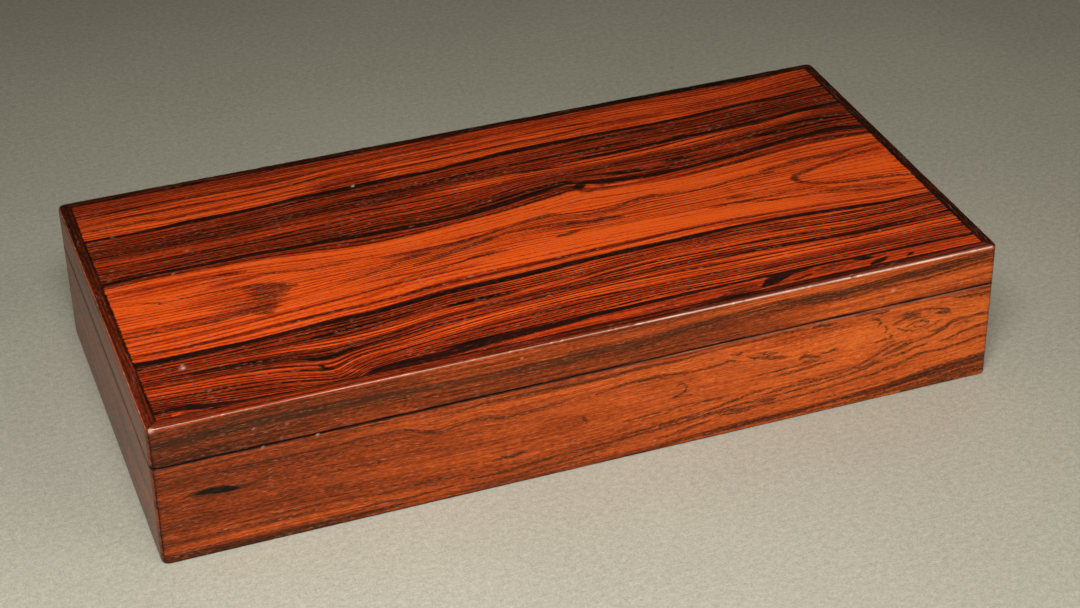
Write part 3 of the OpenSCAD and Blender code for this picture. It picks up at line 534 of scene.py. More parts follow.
FRONT_BROWN = [
    [(-143, 25.4, .2), (-140, 25.8, .9), (-134, 25.6, 1.8), (-127, 25.0, 1.2), (-122, 24.8, .4), (-118, 25.2, .2), (-111, 25.9, .2)],
    [(-124, 24.4, .2), (-119, 25.6, .3), (-113, 26.2, .2)], [(-109.6, 26.4, .3), (-109, 25.2, .5), (-108.4, 24, .2)],
    [(-154, 48.6, .4), (-142, 48.9, .5), (-130, 49.4, .5), (-116, 49.7, .4), (-104, 49.5, .6), (-96, 49.2, .4), (-84, 49.2, .4), (-70, 48.6, .4), (-60, 48.2, .3)],
    [(-154, 47.4, .5), (-144, 47.6, .6), (-134, 47.9, .5), (-120, 48.2, .5), (-108, 48.3, .6), (-96, 48.2, .5), (-84, 47.8, .5), (-74, 47.6, .6), (-60, 47.2, .5), (-50, 47.4, .4), (-38, 47.2, .4), (-24, 47.5, .5), (-12, 47.2, .4)],
    [(-152, 46.4, .4), (-144, 46.2, .6), (-136, 46.7, .6), (-126, 47.0, .3), (-112, 47.2, .3), (-98, 46.9, .4), (-82, 46.5, .4), (-68, 46.2, .4), (-54, 46.2, .3)],
    [(-130, 45.6, .1), (-112, 45.6, .3), (-94, 45.3, .2), (-76, 45.3, .3), (-60, 45, .1)],
    [(-52, 45.7, .3), (-40, 46, .4), (-26, 45.5, .5), (-14, 45.2, .6), (-4, 45.7, .7), (4, 46.0, .5), (15, 45.4, .7), (24, 46, .4), (34, 46.9, .3), (46, 46.9, .3)],
    [(-10, 48.1, .3), (0, 48.0, .4), (12, 47.8, .4), (24, 48.4, .4), (36, 49.3, .4), (48, 49.8, .4), (60, 50.6, .3), (72, 50.9, .4), (82, 50.5, .4), (92, 50.0, .4), (103, 50.3, .4), (112, 51.0, .4), (126, 51.6, .5), (140, 52.1, .5), (153, 53.0, .4)],
    [(-14, 46.6, .3), (0, 46.8, .5), (14, 46.7, .5), (26, 47.4, .4), (38, 48.0, .4), (52, 48.4, .4), (64, 49.2, .4), (76, 49.6, .5), (86, 49.3, .4), (96, 49.2, .6), (104, 49.4, .5), (114, 49.9, .5), (124, 50.3, .6), (136, 51.0, .5), (153, 52.0, .4)],
    [(44, 46.9, .2), (56, 47.3, .3), (66, 47.9, .3), (76, 48.4, .4), (84, 48.3, .7), (90, 48.1, .6), (97, 48.5, .7), (104, 48.3, .5), (112, 49.0, .4), (124, 49.2, .5), (134, 49.6, .5), (146, 50.6, .4), (153, 51, .3)],
    [(60, 46.9, .1), (70, 47.4, .25), (78, 47.2, .3), (84, 46.6, .3), (92, 46.4, .3), (100, 46.7, .3), (105, 47.5, .3), (112, 47.3, .2), (122, 47.0, .2), (132, 47.7, .25), (142, 48.6, .3), (153, 49.6, .2)],
    [(96, 48.8, .2), (101, 48.6, .8), (106, 49.2, .2)], [(82, 48.9, .2), (86, 48.6, .6), (90, 48.8, .2)],
    [(-152, 31.9, .2), (-143, 32.2, .25), (-136, 32.4, .1)], [(-146, 36.6, .1), (-132, 36.3, .25), (-120, 36.6, .1)],
    [(-104, 37.6, .1), (-92, 36.4, .2), (-84, 36.9, .1)], [(-80, 37.3, .2), (-77, 37.0, .4), (-74, 37.1, .1)],
    [(-132, 32.3, .2), (-120, 32.1, .3), (-106, 32.4, .25), (-92, 32.5, .2), (-80, 33.1, .25), (-72, 32.9, .3), (-66, 32, .35), (-62, 30, .4), (-58, 28.6, .5), (-54, 28.5, .35), (-50, 29.4, .3), (-45, 30.2, .35), (-38, 29.9, .5), (-35, 28.6, .5), (-30, 28.2, .3), (-22, 28.4, .2), (-12, 28.8, .2)],
    [(-100, 29.2, .1), (-97, 28.9, .35), (-94, 29, .1)], [(-66, 25.4, .1), (-52, 25.0, .2), (-44, 24.9, .1)],
    [(0, 29.6, .1), (8, 30.6, .3), (15, 31.2, .5), (25, 31, .5), (32, 30.2, .4), (36, 29.8, .2), (46, 30.2, .2)],
    [(46, 30.0, .2), (49, 30.9, .4), (52, 30.2, .3), (54, 29.4, .2)], [(50, 33.2, .2), (53, 32.9, .4), (56, 33.4, .1)],
    [(-52, 34.6, .1), (-40, 36.2, .3), (-20, 35.9, .45), (-5, 35.5, .4), (6, 35.5, .45), (18, 36.2, .4), (30, 35.8, .3), (40, 36.4, .1)],
    [(-112, 18.8, .1), (-108, 18.6, .4), (-104, 18.8, .1)],
    [(-97, 16.2, .2), (-93, 16, .4), (-90, 16.1, .2)], [(-96, 29.3, .1), (-93, 29.1, .3), (-90, 29.2, .1)],
    [(-37, 11.5, .4), (-34, 12.1, .5), (-31, 11.6, .7), (-28, 12.2, .5), (-25, 12.6, .3)],
    [(-152, 8.2, .4), (-145, 7.8, .3), (-136, 8.2, .2), (-120, 8.0, .25), (-104, 8.3, .2), (-96, 8.2, .1)],
    [(-130, 10.4, .1), (-112, 10.2, .2), (-98, 10.3, .1)],
    [(-78, 8.6, .2), (-66, 8.9, .4), (-58, 9.5, .5), (-53, 9.0, .3), (-48, 8.6, .2)],
    [(-100, 4.1, .1), (-90, 3.8, .25), (-84, 4.2, .35), (-80, 5.2, .45), (-76, 5.3, .3), (-72, 4.4, .4), (-66, 4.2, .4), (-60, 4.8, .35), (-52, 5.2, .2)],
    [(-148, 2.6, .2), (-134, 2.4, .4), (-118, 2.8, .4), (-102, 2.4, .4), (-88, 2.0, .4), (-70, 2.4, .3)],
    [(-46, 6.2, .2), (-38, 5.7, .35), (-32, 6.0, .4), (-26, 6.9, .45), (-18, 7.2, .5), (-4, 7.8, .45), (8, 8.2, .45), (18, 8.8, .35), (32, 9.4, .4), (44, 10.4, .5), (54, 11.4, .4), (64, 11.6, .3), (76, 12.0, .3), (86, 12.5, .3), (95, 13.4, .3), (103, 14.4, .4), (107, 15.9, .4), (113, 17.3, .3), (120, 18.1, .2)],
    [(-50, 3.6, .2), (-40, 3.0, .35), (-30, 3.4, .4), (-22, 4.2, .5), (-14, 4.6, .4), (-4, 5.6, .3), (6, 6.6, .2)],
    [(-40, 1.6, .2), (-28, 2.2, .4), (-16, 2.8, .4), (-4, 3.2, .3), (8, 3.0, .2)],
    [(0, 6.8, .1), (2, 5.4, .4), (4, 4.9, .1)], [(22, 5.0, .2), (28, 5.2, .4), (33, 6.0, .5), (38, 6.9, .4), (43, 7.4, .2)],
    [(6, 8.9, .1), (18, 10.2, .3), (30, 10.9, .4), (42, 12.0, .4), (50, 13.4, .4), (58, 14.8, .3), (66, 15.6, .2)],
    [(10, 15.1, .1), (18, 15.8, .3), (26, 15.6, .2), (34, 16.6, .3), (42, 16.2, .3), (50, 16.4, .2)],
    [(46, 9.6, .3), (50, 9.9, .6), (54, 9.2, .7), (58, 9.2, .6), (60.5, 9.9, .2)], [(61, 10.6, .1), (65, 10.3, .7), (68, 10.3, .2)], [(47, 8.5, .2), (54, 8.2, .4), (60, 8.8, .3)],
    [(60, 8.8, .2), (70, 9.0, .3), (80, 9.3, .3), (90, 10.1, .3), (98, 10.8, .35), (104, 11.0, .4), (107.5, 11.3, .5), (111, 12.6, .4), (116, 13.4, .3), (120, 14.2, .4), (123, 15.4, .5), (127, 15.6, .4), (134, 15.2, .3), (142, 16.2, .35), (148, 17.0, .35), (154, 17.3, .3)],
    [(108, 11.4, .1), (113, 11.9, .2), (120, 12.0, .1)],
    [(62, 12.9, .1), (70, 14.1, .5), (74, 14.3, .3), (82, 13.9, .3), (90, 14.3, .3), (97, 15.6, .3), (103, 17.6, .4), (107, 19.3, .4), (111, 21.2, .35), (115, 22.2, .3), (121, 22.4, .2)],
    [(76, 15.2, .2), (79, 15.6, .4), (84, 14.9, .2)], [(85, 15.8, .1), (92, 15.9, .25), (99, 16.3, .1)],
    [(99, 15.3, .2), (102.5, 15.2, .5), (105.5, 16.1, .8), (108.5, 16.2, .6), (110, 15.6, .1)],
    [(109.5, 18.4, .3), (112.5, 19.1, .6), (116, 19.9, .8), (119, 20.8, .6), (122, 21.6, .3)],
    [(118, 21.2, .2), (123, 21.6, .3), (129, 22.2, .4), (133, 24.0, .6), (136, 26.0, .8), (139, 26.9, .6), (143, 26.6, .5), (147, 26.9, .5), (152, 26.4, .3)],
    [(127, 24.2, .1), (131, 23.9, .4), (134, 25.2, .4)], [(137, 24.6, .1), (141, 25.0, .3), (145, 24.6, .1)],
    [(132, 18.9, .2), (136.5, 19.5, .4), (141, 20.9, .5), (147, 21.9, .5), (153, 22.5, .4)],
    [(112, 16.2, .1), (118, 17.2, .3), (122, 18.6, .3), (127, 19.1, .2)],
    [(104.5, 35.2, .2), (107, 33.8, .4), (108, 32.4, .3), (106.8, 31.4, .2)], [(109.4, 31.2, .1), (110.6, 29.4, .4), (109.8, 28.0, .2)],
    [(111, 27.4, .1), (112.6, 26.0, .4), (111.4, 24.8, .1)], [(106, 24.6, .1), (109.5, 25.2, .3), (113, 24.6, .1)], [(108, 21.7, .1), (111, 23.0, .3), (114, 23.4, .1)],
    [(112.5, 30.6, .2), (115, 31.3, .6), (118, 32.3, .8), (121, 32.9, .6), (124, 32.4, .2)], [(119, 31.0, .1), (122, 31.4, .4), (126, 31.0, .1)],
    [(113, 33.2, .1), (119, 34.2, .3), (126, 34.2, .3), (131, 33.2, .4), (134.5, 31.6, .5), (136, 29.8, .1)],
    [(129, 31.6, .1), (132, 31.2, .6), (134.5, 30.4, .3)],
    [(118, 28.6, .1), (121, 29.4, .3), (124.5, 29.6, .35), (127, 28.6, .3), (126, 27.4, .2), (123, 27.2, .2), (121, 27.8, .1)],
    [(114, 28.9, .1), (117, 27.3, .25), (121, 26.1, .25), (126, 25.9, .2), (130, 27.0, .25), (132, 28.6, .1)],
    [(56, 31.2, .2), (59, 30.0, .7), (62, 29.4, .6), (66, 28.2, .8), (69, 27.5, .7), (72, 27.1, .2)], [(60, 31.4, .1), (64, 30.6, .4), (68, 30.0, .1)],
    [(76.5, 24.8, .4), (78.5, 25.9, .5), (80.5, 25.2, .7), (83, 24.4, .4), (85.5, 23.6, .2)], [(78, 23.2, .1), (81, 23.2, .4), (84, 22.4, .1)], [(84, 25.9, .1), (87, 25.0, .3), (90, 25.6, .4), (92, 25.2, .1)],
    [(60, 21.9, .1), (68, 22.2, .3), (76, 22.3, .2), (84, 22.0, .1)],
    [(66, 19.4, .1), (72, 20.0, .4), (79, 20.4, .4), (85, 20.9, .3), (90, 21.2, .1)],
    [(81, 36.9, .2), (84, 37.2, .5), (87, 36.6, .6), (90.5, 36.9, .2)], [(97, 37.9, .2), (101, 38.2, .6), (106, 38.3, .3)], [(62, 37.2, .1), (70, 37.4, .25), (78, 37.2, .1)],
    [(136, 36.6, .2), (140, 36.1, .5), (144, 35.7, .7), (149, 35.6, .6), (153, 36.0, .4)], [(104, 37.0, .1), (108, 36.6, .4), (111, 36.9, .1)],
    [(66, 2.0, .1), (76, 2.5, .2), (88, 3.4, .25), (100, 4.3, .3), (110, 5.0, .3), (118, 6.1, .4), (126, 7.3, .7), (134, 8.0, .8), (142, 8.4, .8), (153, 9.3, .8)],
    [(86, 5.6, .1), (96, 6.4, .2), (106, 6.6, .2), (114, 7.4, .1)],
    [(96, 2.0, .1), (108, 2.9, .3), (116, 4.0, .4), (124, 4.9, .5), (134, 5.4, .4), (143, 6.1, .5), (153, 6.8, .5)],
    [(40, 1.8, .3), (54, 2.2, .45), (68, 1.9, .4), (82, 1.5, .4), (96, 1.2, .4), (108, 1.5, .5), (118, 2.4, .7), (130, 3.2, .9), (142, 4.0, .9), (153, 4.6, .9)],
    [(118, 1.4, .5), (132, 1.6, .9), (146, 2.2, 1.0), (153, 2.6, 1.0)],
    [(41, 41.8, .1), (44, 41.0, .4), (47, 40.4, .2), (50, 40.0, .1)], [(50, 42.4, .1), (52.5, 41.4, .3), (54, 40.6, .1)],
    [(28, 24, .1), (32, 26.2, .25), (34, 24, .35), (33, 22.2, .3), (29, 20.9, .2)], [(-5, 22, .1), (-4, 20, .5), (-3.4, 18.6, .1)],
    [(27, 20.2, .1), (31, 20.6, .2), (36, 20.2, .1)],
]
FRONT_SOFT = [
    ([(-155, 13.5, 2), (-105, 13.5, 2)], -.04, 2.0),
    ([(10, 28, 4), (152, 26, 6)], .05, 6.0),
    ([(100, 31, 2), (97, 24, 3)], .08, 5.0),
    ([(-20, 24, 3), (-8, 20, 4)], -.05, 4.0),
    ([(-22, 30, 3), (14, 28, 3)], .05, 4.0),
    ([(40, 27, 3), (52, 22, 3)], .04, 4.0),
    ([(110, 17, 1.2), (116, 17.6, 1.0)], .14, 1.2),
    ([(120, 17, .6), (134, 18, .8)], .08, 1.2),
    ([(112, 36.8, 1.0), (130, 36.4, .8)], .10, 1.5),
    ([(60, 17, 2.0), (100, 20, 2.0)], .04, 3.0),
    ([(-155, 21, 2), (-135, 16, 3)], -.05, 4.0),
    # the last two strokes darken the front along its upright corners: partly darker wood, partly painted shade of the
    # rounded corners
    ([(-152.5, 0, .2), (-152.5, 60, .2)], -.30, 2.4),
    ([(152.5, 0, .2), (152.5, 60, .2)], -.16, 2.0),
]


def drawn_figure(seed, half, tone, extra=0.0, bold=1.0):
    """A plainer board of the same wood: gently waving grain, some dark stripes and a few long marks, from a fixed seed."""
    rs = np.random.RandomState(seed)
    xs = np.linspace(-half - 8, half + 8, 13)
    lines, y, wave = [], -10.0, rs.normal(0, 0.7, 13)
    while y < 72:
        wave = 0.75 * wave + rs.normal(0, 0.45, 13)
        lines.append((y, list(zip(xs, y + wave + extra * (xs / half) ** 2 * 3.0))))
        y += rs.uniform(5, 9)
    bands, s = [(-20, 80, tone, 0.42 * bold, -200, 200, 1, 9)], -6.0
    while s < 66:
        wdt = rs.uniform(0.8, 5.0)
        c = rs.uniform(-half, half)
        reach = rs.uniform(60, 200)
        bands.append((s, s + wdt, float(np.clip(tone + bold * (rs.choice([-.22, -.14, .10, .14]) + rs.normal(0, .04)), .16, .88)),
                      float(rs.uniform(.3, .65)) * bold, c - reach, c + reach, rs.uniform(.3, .9), rs.uniform(8, 30)))
        s += wdt + rs.uniform(0.5, 4.0)
    black, brown = [], []
    for i in range(3):
        y0 = rs.uniform(2, 56); n = 8
        x = np.linspace(-half - 5, half + 5, n); w = rs.normal(0, .6, n)
        black.append([(a, y0 + b, float(abs(rs.normal(.35, .3)) - 1.2 * (1 - bold))) for a, b in zip(x, w)])
    for i in range(9):
        y0, x0, ln = rs.uniform(1, 57), rs.uniform(-half, half), rs.uniform(14, 60)
        brown.append([(x0 + t * ln, y0 + rs.normal(0, .35), (.15 + rs.uniform(.2, .8)) * math.sin(math.pi * (t * .94 + .03)) + .05)
                      for t in np.linspace(0, 1, 6)])
    # the board is darkened along both upright corners: partly darker wood, partly painted shade of the rounded corners
    soft = [([(sx * half, -5, .2), (sx * half, 60, .2)], -.22, 2.4) for sx in (-1, 1)]
    return Figure(lines, bands, black, brown, soft, base=(tone, .4))


FIG_TOP = Figure(TOP_LINES, TOP_BANDS, TOP_BLACK, TOP_BROWN, TOP_SOFT, base=(0.7, 0.4), smooth=2.2)
FIG_FRONT = Figure(FRONT_LINES, FRONT_BANDS, FRONT_BLACK, FRONT_BROWN, FRONT_SOFT, base=(0.6, 0.4), smooth=2.2)
FIG_LEFT = drawn_figure(11, BOX_W / 2, 0.53, bold=0.40)
FIG_RIGHT = drawn_figure(23, BOX_W / 2, 0.56, 0.8)
FIG_BACK = drawn_figure(37, BOX_L / 2, 0.52, 0.5)


RAMP_RED = [(0.0, (.0046, .0027, .0018)), (.14, (.0165, .0043, .0019)), (.28, (.052, .0081, .0023)),
            (.42, (.130, .0137, .0027)), (.56, (.265, .0232, .0033)), (.70, (.440, .0362, .0041)),
            (.84, (.650, .0580, .0054)), (1.0, (.930, .1200, .0105))]
RAMP_BROWN = [(0.0, (.0090, .0055, .0036)), (.14, (.0260, .0098, .0046)), (.28, (.070, .0185, .0066)),
              (.42, (.155, .0300, .0088)), (.56, (.290, .0500, .0115)), (.70, (.460, .0820, .0150)),
              (.84, (.650, .1300, .0210)), (1.0, (.820, .1950, .0340))]


RAMP_FRONT = [(0.0, (.0110, .0050, .0030)), (.14, (.0330, .0098, .0042)), (.28, (.095, .0190, .0054)),
              (.42, (.210, .0330, .0066)), (.56, (.370, .0590, .0098)), (.70, (.570, .0970, .0142)),
              (.84, (.790, .1460, .0210)), (1.0, (.920, .2250, .0380))]


def rosewood(name, seed=0.0, coat=1.0, coat_rough=0.07, coat_ior=1.45, rough=0.34, spec=0.1, ramp=None, stripe=(0.16, 0.36, 0.80),
             fine=(0.52, 0.44), lines=0.30, pores=0.5, pore_glints=0.85, glint_col=(.50, .150, .088), brown=((.020, .0060, .0036), (.085, .0135, .0050)), ragged=0.75, mottle=0.34, crisp=1.0):
    n = Net(name)
    u, s, w = n.sep(n.attr("fig"))
    bk, br, wear_and_highlight = n.sep(n.attr("mark"))
    tone, con, v = n.sep(n.attr("tone"))
    wz = n.m("ADD", n.m("MULTIPLY", w, 0.12), seed)

    def grain(du, ds, z, detail=2.0, rough_=0.5, dist=0.0):
        p = n.vec(n.m("DIVIDE", u, du), n.m("DIVIDE", s, ds), n.m("ADD", wz, z))
        return n.m("SUBTRACT", n.noise(p, 1.0, detail, rough_, dist), 0.5)

    g_macro = grain(70.0, 7.0, 3.1)
    g_broad = grain(60.0, 1.0, 0.0, 1.0)
    g_mid = grain(26.0, 0.42, 7.7, 1.0, 0.6)
    g_fine = grain(7.0, 0.17, 13.3, 2.0, 0.6)
    g_dash = grain(1.7, 0.26, 17.9, 1.0, 0.5)
    st_broad = n.m("SUBTRACT", n.rng(g_broad, -.16, .16), 0.5)
    st_mid = n.m("SUBTRACT", n.rng(g_mid, -.13, .13), 0.5)
    # growth rings about 2 mm apart
    phase = n.m("ADD", n.m("MULTIPLY", s, 6.2832 / 1.62), n.m("MULTIPLY", grain(85.0, 5.0, 61.0, 1.0), 22.0))
    ring = n.m("SUBTRACT", 0.36, n.rng(n.m("SINE", phase), -0.1, 1.0))
    stripes = n.m("ADD", n.m("MULTIPLY", st_broad, stripe[0]), n.m("MULTIPLY", st_mid, stripe[1]))
    stripes = n.m("ADD", stripes, n.m("MULTIPLY", ring, stripe[2]))
    t = n.m("ADD", tone, n.m("MULTIPLY", stripes, con))
    t = n.m("ADD", t, n.m("MULTIPLY", g_macro, 0.34))
    t = n.m("ADD", t, n.m("MULTIPLY", g_fine, fine[0]))
    t = n.m("ADD", t, n.m("MULTIPLY", g_dash, fine[1]))
    # short flecks and patches that don't follow the stripes closely
    patch = n.m("SUBTRACT", n.noise(n.vec(n.m("DIVIDE", u, 3.4), n.m("DIVIDE", v, 0.95), n.m("ADD", wz, 47.0)), 1.0, 3.0, 0.62), 0.5)
    t = n.m("ADD", t, n.m("MULTIPLY", patch, mottle))
    # thin dark growth lines
    line = n.m("MULTIPLY", n.rng(grain(90.0, 0.55, 51.0, 1.0), 0.13, 0.20), n.rng(con, 0.1, 0.6))
    t = n.m("SUBTRACT", t, n.m("MULTIPLY", line, lines))
    col = n.ramp(t, ramp or RAMP_RED)
    # brown marks, feathered along the grain
    strand = grain(8.0, 0.26, 21.0, 2.0, 0.6)
    chip = n.m("SUBTRACT", n.noise(n.vec(n.m("DIVIDE", u, 1.3), n.m("DIVIDE", s, 0.55), n.m("ADD", wz, 27.0)), 1.0, 2.0, 0.6), 0.5)
    feather = n.m("ADD", n.m("MULTIPLY", strand, ragged * 4.4), n.m("MULTIPLY", chip, ragged * 2.6))
    mb = n.rng(n.m("ADD", br, feather), -0.62 * crisp, 0.30 * crisp)
    depth = n.rng(n.m("ADD", n.m("MULTIPLY", strand, 1.6), n.m("ADD", chip, g_fine)), -0.30, 0.26, 0.42, 1.0)
    col = n.mix(n.m("MULTIPLY", mb, depth), col, n.mix(n.rng(g_fine, -.2, .25), *brown))
    # black veins and glue lines, and the painted shade in the seam and along the foot
    mk = n.rng(n.m("ADD", bk, n.m("ADD", n.m("MULTIPLY", grain(14.0, 0.8, 31.0, 2.0), 1.5), n.m("MULTIPLY", g_fine, 0.7))), -0.34, 0.20)
    col = n.mix(n.m("MULTIPLY", mk, 0.96), col, n.mix(n.rng(g_fine, -.2, .3), (.0036, .0024, .0022), (.0105, .0050, .0038)))
    # pores: short dark dashes along the grain in light wood, and in dark wood pale dashes painted as glints in the
    # pores
    pore = n.noise(n.vec(n.m("DIVIDE", u, 2.0), n.m("DIVIDE", s, 0.15), wz), 1.0, 1.0, 0.4)
    pd = n.rng(pore, 0.60, 0.70)
    col = n.mix(n.m("MULTIPLY", pd, pores), col, (.030, .0070, .0040))
    # painted highlight: pale glints in the pores of the dark wood
    glint_noise = n.noise(n.vec(n.m("DIVIDE", u, 2.4), n.m("DIVIDE", s, 0.25), n.m("ADD", wz, 5.0)), 1.0, 1.0, 0.4)
    zone = n.noise(n.vec(n.m("DIVIDE", u, 17.0), n.m("DIVIDE", s, 0.9), n.m("ADD", wz, 9.0)), 1.0, 1.0, 0.5)
    glint = n.m("MULTIPLY", n.rng(glint_noise, 0.55, 0.66), n.rng(zone, 0.49, 0.62))
    glint = n.m("MULTIPLY", glint, n.m("SUBTRACT", 1.0, n.m("MULTIPLY", mk, 0.75)))
    col = n.mix(n.m("MULTIPLY", glint, pore_glints), col, glint_col)
    # worn arrises and nicks, with the painted highlight along the arrises in the same pale colour
    col = n.mix(n.rng(wear_and_highlight, 0.0, 1.0, smooth=False), col, (.97, .62, .47))
    r = n.m("ADD", rough, n.m("MULTIPLY", pd, 0.15))
    r = n.m("ADD", r, n.m("MULTIPLY", n.rng(wear_and_highlight, 0.0, 1.0, smooth=False), 0.25), clamp=True)
    h = n.m("SUBTRACT", n.m("MULTIPLY", g_fine, 0.35), n.m("MULTIPLY", pd, 0.8))
    nrm = n.bump(h, 0.12, 0.00006)
    # French polish sinks a little along the grain
    film = n.m("ADD", n.m("MULTIPLY", grain(14.0, 2.2, 41.0, 1.0), 1.0), n.m("MULTIPLY", pd, -0.15))
    cn = n.bump(film, 0.10, 0.00006)
    return n.finish(Base_Color=col, Roughness=r, Normal=nrm, Specular_IOR_Level=spec, Coat_Weight=coat,
                    Coat_Roughness=coat_rough, Coat_IOR=coat_ior, Coat_Normal=cn)


# ------------------------------------------------------------------ boards

def arc_pts(cx, cy, r, a0, a1, n):
    return [(cx + r * math.cos(math.radians(a0 + (a1 - a0) * i / n)), cy + r * math.sin(math.radians(a0 + (a1 - a0) * i / n)))
            for i in range(n + 1)]


def run(a, b, step):
    """Points strictly between a and b, about step apart."""
    n = max(1, int(round(math.dist(a, b) / step)))
    return [(a[0] + (b[0] - a[0]) * i / n, a[1] + (b[1] - a[1]) * i / n) for i in range(1, n)]


def path(points, steps):
    """Joins corner points, with extra points along each leg that has a step."""
    out = []
    for i, p in enumerate(points):
        out.append(p)
        q = points[(i + 1) % len(points)]
        if steps[i]:
            out += run(p, q, steps[i])
    return out


def base_profile(step):
    return (arc_pts(FOOT_R, FOOT_R, FOOT_R, 270, 180, 5)
            + run((0, FOOT_R), (0, RIM_Z - ARRIS), step)
            + arc_pts(ARRIS, RIM_Z - ARRIS, ARRIS, 180, 90, 3)
            + run((ARRIS, RIM_Z), (WALL, RIM_Z), 1.5)
            + [(WALL, RIM_Z)] + run((WALL, RIM_Z), (WALL, FLOOR_Z), 6.0)
            + [(WALL, FLOOR_Z), (BORDER, FLOOR_Z), (BORDER, 0.0)])


def lid_profile(step):
    return (arc_pts(ARRIS, LID_Z + ARRIS, ARRIS, 270, 180, 3)
            + run((0, LID_Z + ARRIS), (0, BOX_H - EDGE_R), step)
            + arc_pts(EDGE_R, BOX_H - EDGE_R, EDGE_R, 180, 90, 8)
            + run((EDGE_R, BOX_H), (BORDER, BOX_H), 0.6)
            + [(BORDER, BOX_H), (BORDER, CEIL_Z), (WALL, CEIL_Z)]
            + run((WALL, CEIL_Z), (WALL, LID_Z), 4.0) + [(WALL, LID_Z)]
            + run((WALL, LID_Z), (ARRIS, LID_Z), 2.0))


def board(name, length, span, profile, turn, step=1.5, seed=0, corner=CORNER_R):
    """A mitred board as one closed mesh. The profile's first number runs inwards from the outer face."""
    n = int(round(length / step))
    st = np.linspace(-1, 1, n + 1)
    end = corner / (length / 2)
    extra = np.array([1 - end * k for k in (.12, .3, .5, .75, 1.0)])
    st = np.unique(np.round(np.concatenate([st[np.abs(st) < 1 - end * 1.15], [-1, 1], extra, -extra]), 6))
    d = np.array([p[0] for p in profile]); z = np.array([p[1] for p in profile])
    X = st[:, None] * (length / 2 - d)[None, :]
    Y = -span / 2 + np.broadcast_to(d, X.shape).copy()
    Z = np.broadcast_to(z, X.shape).copy()
    # upright corners rounded
    r = corner
    cx, cy = length / 2 - r, -span / 2 + r
    ox, oy = np.abs(X) - cx, Y - cy
    rad = np.hypot(ox, oy)
    lim = np.maximum(r - np.broadcast_to(d, X.shape), 0)
    cut = (ox > 0) & (oy < 0) & (rad > lim) & (lim > 0)
    f = np.where(cut, lim / np.maximum(rad, 1e-9), 1)
    X = np.where(cut, np.sign(X) * (cx + ox * f), X)
    Y = np.where(cut, cy + oy * f, Y)
    # the arris is worn: tiny hollows and nicks, always inwards
    outer = (Z > BOX_H - 2.0) & (np.broadcast_to(d, X.shape) < 1.3)
    corner = (np.abs(st) * length / 2 > length / 2 - 3)[:, None] & (np.broadcast_to(d, X.shape) < .5)
    soft = 0.10 * vnoise(X / 9.0, Z * 0 + 3.0, seed + 5) ** 2 + 0.16 * np.clip(vnoise(X / 1.7, Z * 0 + 8, seed + 9) - .82, 0, 1) / .18
    k = np.where(outer, 1.0, 0.0)
    Y = Y + k * soft * 0.7
    Z = Z - k * soft * 0.7
    a = math.radians(turn)
    P = np.stack([X * math.cos(a) - Y * math.sin(a), X * math.sin(a) + Y * math.cos(a), Z], -1)
    N, M = X.shape
    faces = []
    for i in range(N - 1):
        for j in range(M):
            j2 = (j + 1) % M
            faces.append((i * M + j, i * M + j2, (i + 1) * M + j2, (i + 1) * M + j))
    faces.append(tuple(range(M))[::-1])
    faces.append(tuple((N - 1) * M + j for j in range(M)))
    ob = make_object(name, P.reshape(-1, 3), faces)
    recalc_normals(ob)
    ob.data.set_sharp_from_angle(angle=math.radians(34))
    return ob


def board_coords(ob, length, span, turn):
    """Each vertex's place along the board, inwards from its outer face, and its height."""
    co = coords_mm(ob)
    a = math.radians(-turn)
    x = co[:, 0] * math.cos(a) - co[:, 1] * math.sin(a)
    y = co[:, 0] * math.sin(a) + co[:, 1] * math.cos(a)
    return x, y + span / 2, co[:, 2]


def wear_and_highlight_at(x, d, z, length, seed, lid):
    """How far the polish is rubbed through along the lid's upper arris and at its corners, together with a painted
    highlight along that arris and along the front base's top arris.
    """
    w = np.zeros(len(x))
    if not lid and seed == 1:                    # the base's top arris catches the light
        w += np.exp(-((z - RIM_Z + .16) / .13) ** 2) * (d < .5) * (.02 + .16 * ease(x, -30, 90)) * (.6 + .6 * vnoise(x / 9.0, x * 0 + 4, 19))
    if lid:
        q = (BOX_H - z) - d                      # 0 at the middle of the rounding
        out = np.hypot(np.maximum(EDGE_R - d, 0), np.maximum(z - BOX_H + EDGE_R, 0))
        on = ease(out, EDGE_R * .80, EDGE_R * .97)
        # painted highlight: on the front the pale line is widened and brightened towards the right, where the arris
        # catches the light
        reach = .17 + (.06 * ease(x, -150, 0) + .17 * ease(x, -10, 70) if seed == 1 else 0)
        line = np.exp(-(q / reach) ** 2) * on
        patch = vnoise(x / 14.0, x * 0 + 5, seed + 3)
        w += line * ((.47 + .12 * ease(x, -120, -20) + .46 * ease(x, -10, 55)) if seed == 1 else .22) * (.55 + .6 * patch)
        w += line * .7 * np.clip(vnoise(x / 1.3, x * 0 + 2, seed) - .80, 0, 1) / .20
        if seed == 1:                            # the front left corner is rubbed bare
            w += 0.9 * np.exp(-((x + length / 2 - .9) ** 2 + (z - BOX_H + .5) ** 2 + d ** 2) / 1.1)
    return np.clip(w, 0, 1)


